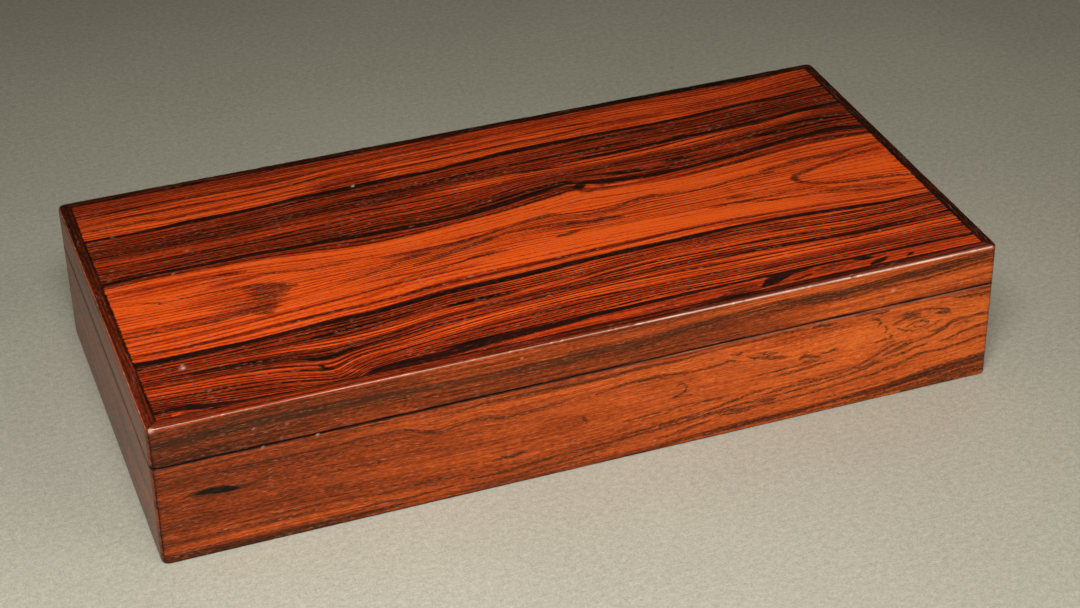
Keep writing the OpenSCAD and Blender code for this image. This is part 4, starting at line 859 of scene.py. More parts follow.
def cut_for_hinges(ob, up):
    """Lets the hinges into a back board."""
    cutters = []
    for sx in (-1, 1):
        z0, z1 = (SEAM - 1, SEAM + GAP / 2 + 1.1) if up > 0 else (SEAM - GAP / 2 - 1.1, SEAM + 1)
        x0, x1 = sx * HINGE_X - HINGE_L / 2 - .12, sx * HINGE_X + HINGE_L / 2 + .12
        y0, y1 = AXIS_Y - 5.5, AXIS_Y + 2
        vs = [(x, y, z) for x in (x0, x1) for y in (y0, y1) for z in (z0, z1)]
        c = make_object("cut", vs, [(0, 1, 3, 2), (4, 6, 7, 5), (0, 4, 5, 1), (2, 3, 7, 6), (0, 2, 6, 4), (1, 5, 7, 3)], smooth=False)
        recalc_normals(c); cutters.append(c)
        ring = [(AXIS_Y + 2.3 * math.cos(t), SEAM + 2.3 * math.sin(t)) for t in np.linspace(0, 2 * math.pi, 33)[:-1]]
        vs = [(x0, *p) for p in ring] + [(x1, *p) for p in ring]
        m = len(ring)
        fs = [(i, (i + 1) % m, m + (i + 1) % m, m + i) for i in range(m)] + [tuple(range(m)), tuple(range(m, 2 * m))[::-1]]
        c = make_object("cut", vs, fs, smooth=False)
        recalc_normals(c); cutters.append(c)
    for c in cutters:
        mod = ob.modifiers.new("let_in", "BOOLEAN"); mod.operation = "DIFFERENCE"; mod.solver = "EXACT"; mod.object = c
    apply_mods(ob)
    for c in cutters:
        me = c.data; bpy.data.objects.remove(c); bpy.data.meshes.remove(me)
    ob.data.shade_smooth()
    ob.data.set_sharp_from_angle(angle=math.radians(34))


MAT_TOP = rosewood("rosewood_figured", 0.0, coat_rough=0.06, lines=0.48)
MAT_FRONT = rosewood("rosewood_front", 40.0, coat=0.42, coat_rough=0.08, coat_ior=1.38, rough=0.5, spec=0.0, ramp=RAMP_FRONT,
                     stripe=(0.42, 0.46, 0.20), fine=(0.50, 0.46), lines=0.25, pores=0.34, pore_glints=0.36,
                     glint_col=(.66, .250, .135), brown=((.038, .0135, .0060), (.100, .0290, .0095)), ragged=0.40, mottle=0.44, crisp=0.62)
MAT_SIDE = rosewood("rosewood_side", 90.0, coat=0.50, coat_rough=0.10, rough=0.5, spec=0.0, ramp=RAMP_BROWN,
                    stripe=(0.40, 0.40, 0.25), fine=(0.42, 0.44), pores=0.30, pore_glints=0.35, glint_col=(.62, .270, .120),
                    brown=((.036, .0150, .0062), (.100, .0290, .0090)))
MAT_RIM = rosewood("rosewood_rim", 140.0, coat=0.9, coat_rough=0.08, pore_glints=0.5, glint_col=(.30, .110, .075))

# small pale nicks in the polish: place, radius and strength
TOP_NICKS = [(-47.5, 49, .45, 1.0), (-133.5, -46, .75, .8), (-133.2, -44.4, .4, .5), (-27, -27, .45, .9), (143, -74, .5, .7), (-115, 26.5, .4, .8),
             (-123, 13.2, .4, .7), (-36, 13, .4, .6), (-138, 45.6, .4, .4), (-19, 35, .4, .5), (-6, 36.6, .4, .5), (62, -8, .4, .5), (38, 41, .4, .4),
             (96, 22, .4, .4), (-70, 31, .35, .4), (118, -52, .4, .5)]
FRONT_NICKS = [(112, 45.2, .42, 1.0), (-117.8, 46.3, .34, .6), (-115.4, 38.2, .36, .5), (-97, 38.4, .38, .5), (-109, 40.6, .3, .4), (83, 38.1, .3, .4),
               (-26, 50.8, .3, .35), (22, 4.4, .3, .35), (139, 42, .3, .3)]


def nicks(x, y, spots):
    w = np.zeros(len(x))
    for cx, cy, r, a in spots:
        w = np.maximum(w, a * np.exp(-((x - cx) ** 2 + (y - cy) ** 2) / (r * r)))
    return w


BOARDS = [
    ("front", 0, BOX_L, BOX_W, FIG_FRONT, MAT_FRONT, 1),
    ("back", 180, BOX_L, BOX_W, FIG_BACK, MAT_SIDE, 2),
    ("left", -90, BOX_W, BOX_L, FIG_LEFT, MAT_SIDE, 3),
    ("right", 90, BOX_W, BOX_L, FIG_RIGHT, MAT_SIDE, 4),
]


def rim_dim(side, u, d, z):
    """How much darker the rim round the panel is than the faces below it."""
    top = ease(z - BOX_H + EDGE_R, 0.2, 1.2) * ease(d, 0.1, 0.9)
    if side == "back":
        k = -0.36 + 0 * u
    elif side == "right":
        k = -0.42 + 0 * u
    elif side == "left":   # u runs from the back to the front
        k = -0.27 + 0.08 * ease(u, -50, 70)
    else:
        k = 0 * u
    return top * k


for side, turn, length, span, fig, mat, seed in BOARDS:
    fine = side == "front"
    for part, profile in (("base", base_profile(0.5 if fine else 1.3)), ("lid", lid_profile(0.5 if fine else 1.3))):
        node = f"{part}_{side}_" + ("wall" if part == "base" else "rail")
        ob = board(node + "_board", length, span, profile, turn, 0.8 if fine else 1.4, seed)
        if side == "back":
            cut_for_hinges(ob, -1 if part == "base" else 1)
        x, d, z = board_coords(ob, length, span, turn)
        v = z + np.where(z > 20, d, -d * 0 + d)
        # thin dark glue lines: at the mitres and beside the panel
        mitre = .16 - np.abs((length / 2 - np.abs(x)) - d) * .7071
        mitre = np.where(z > 0.5, mitre, -9)
        line = np.where((z > BOX_H - .5) & (d > 3), .22 - np.abs(d - BORDER), -9.0)
        if part == "base":
            # painted shade: the seam's gap darkened on the base's top face and its upper arris (less at the right of
            # the front), and a painted contact shadow along the foot
            seam_and_foot_shade = np.where(z > RIM_Z - .05, .3 - np.abs(d - 1.1), -9.0)
            seam_and_foot_shade = np.maximum(seam_and_foot_shade, np.where(d < 2, .5 - z, -9.0))
            seam_and_foot_shade = np.maximum(seam_and_foot_shade, np.where(d < 2, .34 - .32 * ease(x, -20, 80) * (side == "front") - (RIM_Z - z), -9.0))
        else:
            # painted shade: the lid's lower edge darkened at the seam
            seam_and_foot_shade = .52 - np.abs(z - LID_Z) + 0.5 * np.minimum(0, 1.2 - d)
        black = np.maximum(np.maximum(mitre, line), seam_and_foot_shade)
        # pale marks: rubbed polish and nicks, and the painted highlight along the arrises
        pale_marks = wear_and_highlight_at(x, d, z, length, seed, part == "lid")
        if side == "front":
            pale_marks = np.maximum(pale_marks, nicks(x, z, FRONT_NICKS) * (d < .5))
        fig.paint(ob, x, v, d, black=black, wear_and_highlight=pale_marks, dim=rim_dim(side, x, d, z))
        ob.data.materials.append(mat)
        if part == "lid":
            ob.data.materials.append(MAT_RIM)
            for f in ob.data.polygons:
                c = f.center / MM
                if c.z > BOX_H - .42 and f.normal.z > .5:
                    f.material_index = 1
        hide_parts(node)
        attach(ob, part)

# ------------------------------------------------------------------ panel in the lid

PL, PW = BOX_L - 2 * BORDER, BOX_W - 2 * BORDER


def panel():
    nx, ny = int(round(PL / 1.0)), int(round(PW / 0.65))
    xs = np.linspace(-PL / 2, PL / 2, nx + 1); ys = np.linspace(-PW / 2, PW / 2, ny + 1)
    xs = np.concatenate([[xs[0]], [xs[0] + .3], xs[1:-1], [xs[-1] - .3], [xs[-1]]])
    ys = np.concatenate([[ys[0]], [ys[0] + .3], ys[1:-1], [ys[-1] - .3], [ys[-1]]])
    X, Y = np.meshgrid(xs, ys, indexing="ij")
    Z = np.full(X.shape, BOX_H)
    # the polish has sunk a few hundredths where the wood is soft
    Z -= 0.035 * vnoise(X / 30, Y / 3.0, 3) * (1 - ease(np.maximum(np.abs(X) - PL / 2 + 8, np.abs(Y) - PW / 2 + 8), 0, 7))
    N, M = X.shape
    top = np.stack([X, Y, Z], -1).reshape(-1, 3)
    faces = [(i * M + j, (i + 1) * M + j, (i + 1) * M + j + 1, i * M + j + 1) for i in range(N - 1) for j in range(M - 1)]
    # sides and underside
    rim = [i * M for i in range(N)] + [(N - 1) * M + j for j in range(1, M)] + [i * M + M - 1 for i in range(N - 2, -1, -1)] + [j for j in range(M - 2, 0, -1)]
    low = top[rim].copy(); low[:, 2] = CEIL_Z
    b0 = len(top)
    K = len(rim)
    faces += [(rim[(k + 1) % K], rim[k], b0 + k, b0 + (k + 1) % K) for k in range(K)]
    faces.append(tuple(b0 + k for k in range(K))[::-1])
    ob = make_object("lid_top_panel_board", np.vstack([top, low]), faces)
    recalc_normals(ob)
    ob.data.set_sharp_from_angle(angle=math.radians(30))
    return ob


ob = panel()
co = coords_mm(ob)
edge_d = np.minimum(PL / 2 - np.abs(co[:, 0]), PW / 2 - np.abs(co[:, 1]))
FIG_TOP.paint(ob, co[:, 0], co[:, 1], BOX_H - co[:, 2], black=.26 - edge_d, wear_and_highlight=nicks(co[:, 0], co[:, 1], TOP_NICKS) * (co[:, 2] > BOX_H - 1))
ob.data.materials.append(MAT_TOP)
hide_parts("lid_top_panel")
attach(ob, "lid")

# ------------------------------------------------------------------ slips, lining and pads

def straight_figure(seed, tone, half):
    """Straight-grained wood: nearly parallel lines, each with its own slight slope."""
    rs = np.random.RandomState(seed)
    lines = [(s, [(-half, s + rs.normal(0, .12)), (0, s + rs.normal(0, .15)), (half, s + rs.normal(0, .12))]) for s in np.arange(-6, 60, 3.0)]
    bands = [(s, s + rs.uniform(.6, 1.8), float(tone + rs.choice([-.16, -.08, .08])), .5, -200, 200, .4, 30) for s in np.arange(2, 44, 3.4)]
    return Figure(lines, bands, base=(tone, .5), seed=seed)


SLIP_T, SLIP_TOP, SLIP_CLEAR = 2.2, RIM_Z + 2.2, 0.45
CARD_T, CARD_TOP = 1.2, RIM_Z - 2.4
TRAY_L, TRAY_W = IN_L - 2 * (SLIP_T + CARD_T), IN_W - 2 * (SLIP_T + CARD_T)
SLIP_PROFILE = ([(0, FLOOR_Z), (SLIP_T, FLOOR_Z)] + run((SLIP_T, FLOOR_Z), (SLIP_T, SLIP_TOP - .6), 4.0)
                + arc_pts(SLIP_T - .6, SLIP_TOP - .6, .6, 0, 90, 5)
                + arc_pts(SLIP_CLEAR + .5, SLIP_TOP - .5, .5, 90, 180, 5)
                + [(SLIP_CLEAR, RIM_Z), (0, RIM_Z - .5)])
CARD_PROFILE = ([(0, FLOOR_Z), (CARD_T, FLOOR_Z)] + run((CARD_T, FLOOR_Z), (CARD_T, CARD_TOP - .55), 1.6)
                + arc_pts(CARD_T - .55, CARD_TOP - .55, .55, 0, 90, 5) + [(.25, CARD_TOP), (0, CARD_TOP - .25)])

MAT_SLIP = rosewood("rosewood_slip", 210.0, coat=0.8, coat_rough=0.12, rough=0.4, stripe=(.30, .34, .30), pore_glints=.35,
                    ramp=[(p, tuple(x * .62 for x in c)) for p, c in RAMP_BROWN])


def velvet(name, deep, bright, tint):
    n = Net(name)
    p = n.obj()
    pile = n.noise(n.scale(p, (5200, 5200, 5200)), 1.0, 2.0, 0.6)
    tuft = n.noise(n.scale(p, (1500, 1500, 1500)), 1.0, 2.0, 0.6)
    nap = n.noise(n.scale(p, (34, 52, 34)), 1.0, 4.0, 0.55, 1.2)
    drift = n.noise(n.scale(p, (11, 14, 11)), 1.0, 2.0)
    t = n.m("ADD", n.m("MULTIPLY", n.rng(nap, .30, .70), 0.20), n.m("MULTIPLY", n.rng(drift, .3, .7), 0.18))
    t = n.m("ADD", t, n.m("ADD", n.m("MULTIPLY", pile, 0.42), n.m("MULTIPLY", tuft, 0.24)))
    col = n.mix(n.rng(t, .22, .86), deep, bright)
    pale_marks = n.rng(n.noise(n.scale(p, (60, 60, 60)), 1.0, 5.0, 0.65), .62, .78)
    col = n.mix(n.m("MULTIPLY", pale_marks, .16), col, tuple(min(1, c * 1.9 + .012) for c in bright))
    nrm = n.bump(n.m("ADD", n.m("MULTIPLY", pile, 0.6), n.m("MULTIPLY", tuft, 0.8)), 0.55, 0.00025)
    return n.finish(Base_Color=col, Roughness=0.88, Normal=nrm, Specular_IOR_Level=0.15, Sheen_Weight=0.50, Sheen_Roughness=0.42,
                    Sheen_Tint=tint)


def satin(name, deep, bright, cord=False):
    n = Net(name)
    p = n.obj()
    x, y, z = n.sep(p)
    if cord:
        q = n.attr("twist")
        a, b, c = n.sep(q)
        thread = n.m("SINE", n.m("MULTIPLY", n.m("ADD", n.m("MULTIPLY", b, 1.0), n.m("MULTIPLY", a, 2.2)), 8.0))
        t = n.m("ADD", n.m("MULTIPLY", thread, 0.22), n.noise(n.scale(p, (300, 300, 300)), 1.0, 3.0))
        col = n.mix(n.rng(t, .25, .85), deep, bright)
        nrm = n.bump(n.m("ADD", thread, n.m("MULTIPLY", n.noise(n.scale(p, (3000, 3000, 3000)), 1.0, 2.0), 0.8)), 0.5, 0.00008)
        return n.finish(Base_Color=col, Roughness=0.42, Normal=nrm, Specular_IOR_Level=0.45, Sheen_Weight=0.35, Sheen_Roughness=0.4,
                        Sheen_Tint=(.75, .95, 1.0, 1.0))
    # warp floats run along x, and the weft shows as fine cross lines
    warp = n.noise(n.vec(n.m("MULTIPLY", x, 420.0), n.m("MULTIPLY", y, 5200.0), n.m("MULTIPLY", z, 5200.0)), 1.0, 2.0, 0.5)
    slub = n.noise(n.vec(n.m("MULTIPLY", x, 40.0), n.m("MULTIPLY", y, 1300.0), n.m("MULTIPLY", z, 900.0)), 1.0, 2.0, 0.6)
    weft = n.wave(n.vec(x, 0.0, 0.0), 2100.0)
    age = n.noise(n.scale(p, (22, 26, 22)), 1.0, 4.0, 0.55)
    t = n.m("ADD", n.m("MULTIPLY", warp, 0.46), n.m("ADD", n.m("MULTIPLY", slub, 0.07), n.m("MULTIPLY", age, 0.45)))
    col = n.mix(n.rng(t, .38, .84), deep, bright)
    spots = n.rng(n.noise(n.scale(p, (70, 70, 70)), 1.0, 5.0, 0.6), .64, .80)
    col = n.mix(n.m("MULTIPLY", spots, .25), col, tuple(c * .55 + .01 for c in bright))
    rr = n.rng(slub, .3, .7, .25, .33)
    nrm = n.bump(n.m("ADD", warp, n.m("MULTIPLY", weft, 0.35)), 0.18, 0.00008)
    return n.finish(Base_Color=col, Roughness=rr, Normal=nrm, Specular_IOR_Level=0.85, Anisotropic=0.5, Sheen_Weight=0.25,
                    Sheen_Roughness=0.35, Sheen_Tint=(.6, .9, 1.0, 1.0))


MAT_VELVET = velvet("velvet_blue", (.0035, .0170, .0260), (.0120, .0560, .0820), (.20, .55, .70, 1.0))
MAT_SATIN = satin("satin_blue", (.014, .070, .096), (.050, .190, .245))
MAT_CORD = satin("cord_silk", (.030, .115, .150), (.110, .300, .360), cord=True)

for k, (side, turn, length, span, *_rest) in enumerate(BOARDS):
    inner_l, inner_s = length - 2 * WALL, span - 2 * WALL
    ob = board(f"liner_slip_{side}_strip", inner_l, inner_s, SLIP_PROFILE, turn, 3.0, 30 + k, corner=0.0)
    x, d, z = board_coords(ob, inner_l, inner_s, turn)
    mitre = .12 - np.abs((inner_l / 2 - np.abs(x)) - d) * .7071
    straight_figure(50 + k, .50, 160).paint(ob, x, z + d, d + 9 * k, black=mitre)
    ob.data.materials.append(MAT_SLIP)
    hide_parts(f"liner_slip_{side}"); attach(ob, "base")
    card_l, card_s = inner_l - 2 * SLIP_T, inner_s - 2 * SLIP_T
    ob = board(f"lining_card_{side}_velvet", card_l, card_s, CARD_PROFILE, turn, 2.5, 40 + k, corner=0.0)
    # the velvet is laid over a soft card, so its face is very slightly uneven
    co = coords_mm(ob)
    x, d, z = board_coords(ob, card_l, card_s, turn)
    face = ease(d, CARD_T - .5, CARD_T - .1) * (1 - ease(np.abs(x), card_l / 2 - 5, card_l / 2 - 1.3)) * ease(z, FLOOR_Z, FLOOR_Z + 3)
    move = face * (vnoise(x / 19, z / 9, 60 + k) - .75) * .32
    a = math.radians(turn)
    inward = np.array([-math.sin(a), math.cos(a)])
    co[:, :2] += move[:, None] * inward[None, :]
    ob.data.vertices.foreach_set("co", (co * MM).ravel()); ob.data.update()
    ob.data.materials.append(MAT_VELVET)
    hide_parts(f"lining_card_{side}"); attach(ob, "base")


def pad_grid(xs, ys, length, width, corner):
    """A grid over a pad's plan with its corners rounded, and each point's distance from the edge."""
    X, Y = np.meshgrid(xs, ys, indexing="ij")
    ox, oy = np.abs(X) - (length / 2 - corner), np.abs(Y) - (width / 2 - corner)
    inside = (ox > 0) & (oy > 0)
    m = np.maximum(ox, oy); r = np.hypot(ox, oy)
    f = np.where(inside, m / np.maximum(r, 1e-9), 1)
    X2 = np.where(inside, np.sign(X) * (length / 2 - corner + ox * f), X)
    Y2 = np.where(inside, np.sign(Y) * (width / 2 - corner + oy * f), Y)
    edge = np.where(inside, corner - m, np.minimum(length / 2 - np.abs(X), width / 2 - np.abs(Y)))
    return X, Y, X2, Y2, np.maximum(edge, 0)


def puff(length, width, corner, step, height, up, held, pressure, cap, frames=14, bending=0.3, tension=10.0):
    """Lets a pad's cloth swell over its wadding by simulation on a coarse grid. held gives the pin weights.
    Returns the grid and how far each point moved, in millimetres."""
    xs = np.linspace(-length / 2, length / 2, int(round(length / step)) + 1)
    ys = np.linspace(-width / 2, width / 2, int(round(width / step)) + 1)
    X, Y, X2, Y2, e = pad_grid(xs, ys, length, width, corner)
    scene = bpy.context.scene
    start = np.stack([X2, Y2, up * height(X2, Y2, e)], -1).reshape(-1, 3)
    N, M = X.shape
    faces = [(i * M + j, (i + 1) * M + j, (i + 1) * M + j + 1, i * M + j + 1) for i in range(N - 1) for j in range(M - 1)]
    if up < 0:
        faces = [f[::-1] for f in faces]
    k = 10.0                                     # the cloth is simulated ten times life size
    ob = make_object("cloth_trial", start * k, faces)
    w = held(X2, Y2, e).ravel()
    vg = ob.vertex_groups.new(name="held")
    for lo in (0.25, 0.5, 0.7, 1.0):
        ids = np.nonzero(np.abs(w - lo) < 1e-6)[0]
        if len(ids):
            vg.add(ids.tolist(), lo, "REPLACE")
    mod = ob.modifiers.new("cloth", "CLOTH")
    s = mod.settings
    s.quality = 4
    s.mass = 0.25
    s.tension_stiffness = s.compression_stiffness = tension
    s.shear_stiffness = 3.0
    s.bending_stiffness = bending
    s.air_damping = 2.0
    s.use_pressure = True
    s.uniform_pressure_force = pressure
    s.vertex_group_mass = "held"
    s.effector_weights.gravity = 0.0
    mod.collision_settings.use_collision = False
    mod.point_cache.frame_start, mod.point_cache.frame_end = 1, frames
    for f in range(1, frames + 1):
        scene.frame_set(f)
    dg = bpy.context.evaluated_depsgraph_get()
    me = ob.evaluated_get(dg).to_mesh()
    co = np.empty(len(me.vertices) * 3)
    me.vertices.foreach_get("co", co)
    ob.evaluated_get(dg).to_mesh_clear()
    scene.frame_set(1)
    old = ob.data
    bpy.data.objects.remove(ob); bpy.data.meshes.remove(old)
    move = co.reshape(-1, 3) / MM / k - start
    size = np.linalg.norm(move, axis=1)
    move *= (np.minimum(size, cap) / np.maximum(size, 1e-9))[:, None]
    print("cloth moved", float(size.mean()), float(size.max()))
    return xs, ys, move.reshape(N, M, 3)


def pad_mesh(name, length, width, corner, step, height, z_low, up, field=None):
    """A closed pad: a face from height(x, y, distance from the edge), its sides, and a flat back at z_low."""
    nx, ny = int(round(length / step)), int(round(width / step))
    ex = lambda h: [-h + .35, h - .35, -h + 1, h - 1]
    xs = np.unique(np.concatenate([np.linspace(-length / 2, length / 2, nx + 1), ex(length / 2)]))
    ys = np.unique(np.concatenate([np.linspace(-width / 2, width / 2, ny + 1), ex(width / 2)]))
    X, Y, X2, Y2, edge = pad_grid(xs, ys, length, width, corner)
    P = np.stack([X2, Y2, z_low + up * height(X2, Y2, edge)], -1)
    if field is not None:
        gx, gy, move = field
        fi = np.clip((X - gx[0]) / (gx[1] - gx[0]), 0, len(gx) - 1.001); fj = np.clip((Y - gy[0]) / (gy[1] - gy[0]), 0, len(gy) - 1.001)
        i, j = fi.astype(int), fj.astype(int)
        a, b = (fi - i)[..., None], (fj - j)[..., None]
        a, b = a * a * (3 - 2 * a), b * b * (3 - 2 * b)
        P += (move[i, j] * (1 - a) + move[i + 1, j] * a) * (1 - b) + (move[i, j + 1] * (1 - a) + move[i + 1, j + 1] * a) * b
    N, M = X.shape
    top = P.reshape(-1, 3)
    faces = [(i * M + j, (i + 1) * M + j, (i + 1) * M + j + 1, i * M + j + 1) for i in range(N - 1) for j in range(M - 1)]
    rim = [i * M for i in range(N)] + [(N - 1) * M + j for j in range(1, M)] + [i * M + M - 1 for i in range(N - 2, -1, -1)] + [j for j in range(M - 2, 0, -1)]
    low = top[rim].copy(); low[:, 2] = z_low
    b0, K = len(top), len(rim)
    faces += [(rim[(k + 1) % K], rim[k], b0 + k, b0 + (k + 1) % K) for k in range(K)]
    faces.append(tuple(b0 + k for k in range(K))[::-1])
    ob = make_object(name, np.vstack([top, low]), faces, smooth_angle=70)
    recalc_normals(ob)
    ob.data.set_sharp_from_angle(angle=math.radians(75))
    return ob


def keep_in(ob, lo, hi):
    co = np.clip(coords_mm(ob), lo, hi)
    ob.data.vertices.foreach_set("co", (co * MM).ravel()); ob.data.update()


# floor pad: thin wadding under velvet, crowned, and pulled down round its edge
PAD0 = FLOOR_Z + 1.5


def floor_height(X, Y, e):
    t = np.clip(e / 13.0, 0, 1)
    h = 1.5 + 2.5 * np.sqrt(1 - (1 - t) ** 2)
    h += .42 * (1 - (X / 142.5) ** 2) * (1 - (Y / 66.5) ** 2)
    h += (vnoise(X / 31, Y / 27, 71) - .5) * .45 * ease(e, 2, 14) + (vnoise(X / 9, Y / 8, 72) - .5) * .10 * ease(e, 1, 8)
    # small puckers where the cloth is turned over the card
    along = np.where(66.5 - np.abs(Y) < 142.5 - np.abs(X), X, Y)
    h += (vnoise(along / 5.0, e * 0 + 1, 73) - .5) * .55 * np.exp(-e / 5.0) * ease(e, .2, 1.5)
    return h


FP = (TRAY_L - .4, TRAY_W - .4, 2.0)
ob = pad_mesh("floor_pad_velvet", *FP, 1.9, floor_height, PAD0, 1,
              puff(*FP, 5.0, floor_height, 1, lambda X, Y, e: np.where(e < 4.0, 1.0, 0.0), 0.3, 0.7))
keep_in(ob, (-142.5, -66.5, PAD0), (142.5, 66.5, PAD0 + 5.0))
ob.data.materials.append(MAT_VELVET)
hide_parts("floor_pad"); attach(ob, "base")

# lid pad: satin over wadding, drawn in by ten buttons, with pleats from button to button
LP_L, LP_W, LP_Z = IN_L - 7.4, IN_W - 7.4, CEIL_Z - 1.2
DX, DY = LP_L / 4, LP_W / 4
BUTTONS = [(i * DX, DY) for i in (-1, 0, 1)] + [(i * DX, 0.0) for i in (-1.5, -.5, .5, 1.5)] + [(i * DX, -DY) for i in (-1, 0, 1)]
PLEATS = []
for i in (-1, 0, 1):
    for sy in (-1, 1):
        for k in (-.5, .5):
            PLEATS.append(((i * DX, sy * DY), ((i + k) * DX, 0.0)))
        PLEATS.append(((i * DX, sy * DY), (i * DX, sy * LP_W / 2)))
for sx in (-1, 1):
    PLEATS.append(((sx * 1.5 * DX, 0.0), (sx * LP_L / 2, 0.0)))


def tufted_height(X, Y, e):
    d2 = np.full(X.shape, 1e3); rays = np.zeros(X.shape)
    for k, (bx, by) in enumerate(BUTTONS):
        r = np.hypot(X - bx, Y - by)
        th = np.arctan2(Y - by, X - bx)
        d2 = np.minimum(d2, r)
        fade = np.exp(-np.maximum(r - 3.0, 0) / 6.5) * ease(r, 2.6, 5.0)
        rays += fade * (.55 * np.cos(11 * th + k * 1.7) + .45 * np.cos(17 * th + k * 2.9 + .05 * r * 3))
    d1 = np.full(X.shape, 1e3); along = np.zeros(X.shape)
    for (a, b) in PLEATS:
        ax, ay = a; dx, dy = b[0] - ax, b[1] - ay
        L2 = dx * dx + dy * dy
        t = np.clip(((X - ax) * dx + (Y - ay) * dy) / L2, 0, 1)
        side = ((X - ax) * dy - (Y - ay) * dx) / math.sqrt(L2)
        wob = .45 * (vnoise(X / 7, Y / 7, 81) - .5)
        # a pleat is folded over: steep on one side and soft on the other
        q = np.hypot(X - ax - t * dx, Y - ay - t * dy)
        q = np.where(side + wob > 0, q * 1.0, q * 1.9)
        use = q < d1
        d1 = np.where(use, q, d1); along = np.where(use, t, along)
    H = 6.35
    rise = np.sqrt(1 - (1 - np.clip(e / 13.0, 0, 1)) ** 2)
    deep = .44 + .14 * np.abs(along - .5) * 2
    pleat = 1 - deep * np.exp(-(d1 / 5.4) ** .85)
    tuft = 1 - .66 * np.exp(-(np.maximum(d2 - 1.2, 0) / 12.0) ** 1.15)
    h = .5 + (H - .5) * rise * pleat * tuft
    h += .30 * rays * rise
    h += (vnoise(X / 15, Y / 13, 83) - .5) * .22 * rise + (vnoise(X / 5, Y / 5, 84) - .5) * .06 * rise
    ring = np.where(LP_W / 2 - np.abs(Y) < LP_L / 2 - np.abs(X), X, Y)
    h += (vnoise(ring / 3.2, e * 0 + 1, 85) - .5) * .9 * np.exp(-e / 4.0) * ease(e, .2, 1.4)
    # flat under the buttons
    k = 1 - ease(d2, 2.2, 3.6)
    return h * (1 - k) + np.minimum(h, 2.35) * k


def tuft_held(X, Y, e):
    near, line = np.full(X.shape, 1e3), np.full(X.shape, 1e3)
    for bx, by in BUTTONS:
        near = np.minimum(near, np.hypot(X - bx, Y - by))
    for (a, b) in PLEATS:
        dx, dy = b[0] - a[0], b[1] - a[1]
        t = np.clip(((X - a[0]) * dx + (Y - a[1]) * dy) / (dx * dx + dy * dy), 0, 1)
        line = np.minimum(line, np.hypot(X - a[0] - t * dx, Y - a[1] - t * dy))
    return np.where((e < 2.5) | (near < 4.2), 1.0, np.where(line < 1.6, .7, 0.0))


LP = (LP_L, LP_W, 3.0)
ob = pad_mesh("lid_pad_tufted", *LP, 1.2, tufted_height, LP_Z, -1, puff(*LP, 3.4, tufted_height, -1, tuft_held, 0.9, 0.8, bending=0.15))
keep_in(ob, (-LP_L / 2, -LP_W / 2, LP_Z - 6.4), (LP_L / 2, LP_W / 2, LP_Z))
ob.data.materials.append(MAT_SATIN)
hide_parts("lid_pad"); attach(ob, "lid")


def covered_buttons():
    verts, faces = [], []
    prof = [(0.0, 0.0), (.5, .01), (1.0, .05), (1.5, .13), (2.0, .26), (2.4, .42), (2.75, .64), (3.0, .90), (3.12, 1.15), (3.10, 1.38), (2.9, 1.6), (2.4, 1.78)]
    n = 40
    rs = np.random.RandomState(5)
    for (bx, by) in BUTTONS:
        base = len(verts)
        ph, tilt = rs.uniform(0, 6.28), rs.uniform(-.035, .035, 2)
        verts.append((bx, by, 44.7))
        for (r, dz) in prof[1:]:
            for k in range(n):
                th = 2 * math.pi * k / n
                fold = 1 + .022 * ease(r * 1.0 + dz, 3.2, 4.4) * math.cos(13 * th + ph)
                x, y = r * fold * math.cos(th), r * fold * math.sin(th)
                verts.append((bx + x, by + y, 44.72 + dz + tilt[0] * x + tilt[1] * y + .02 * r / 3))
        for k in range(n):
            faces.append((base, base + 1 + (k + 1) % n, base + 1 + k))
        for j in range(len(prof) - 2):
            for k in range(n):
                a, b = base + 1 + j * n, base + 1 + (j + 1) * n
                faces.append((a + k, a + (k + 1) % n, b + (k + 1) % n, b + k))
        last = base + 1 + (len(prof) - 2) * n
        faces.append(tuple(last + k for k in range(n)))
    ob = make_object("lid_pad_buttons_covered", verts, faces)
    recalc_normals(ob)
    return ob


ob = covered_buttons()
ob.data.materials.append(MAT_SATIN)
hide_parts("lid_pad_buttons"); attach(ob, "lid")


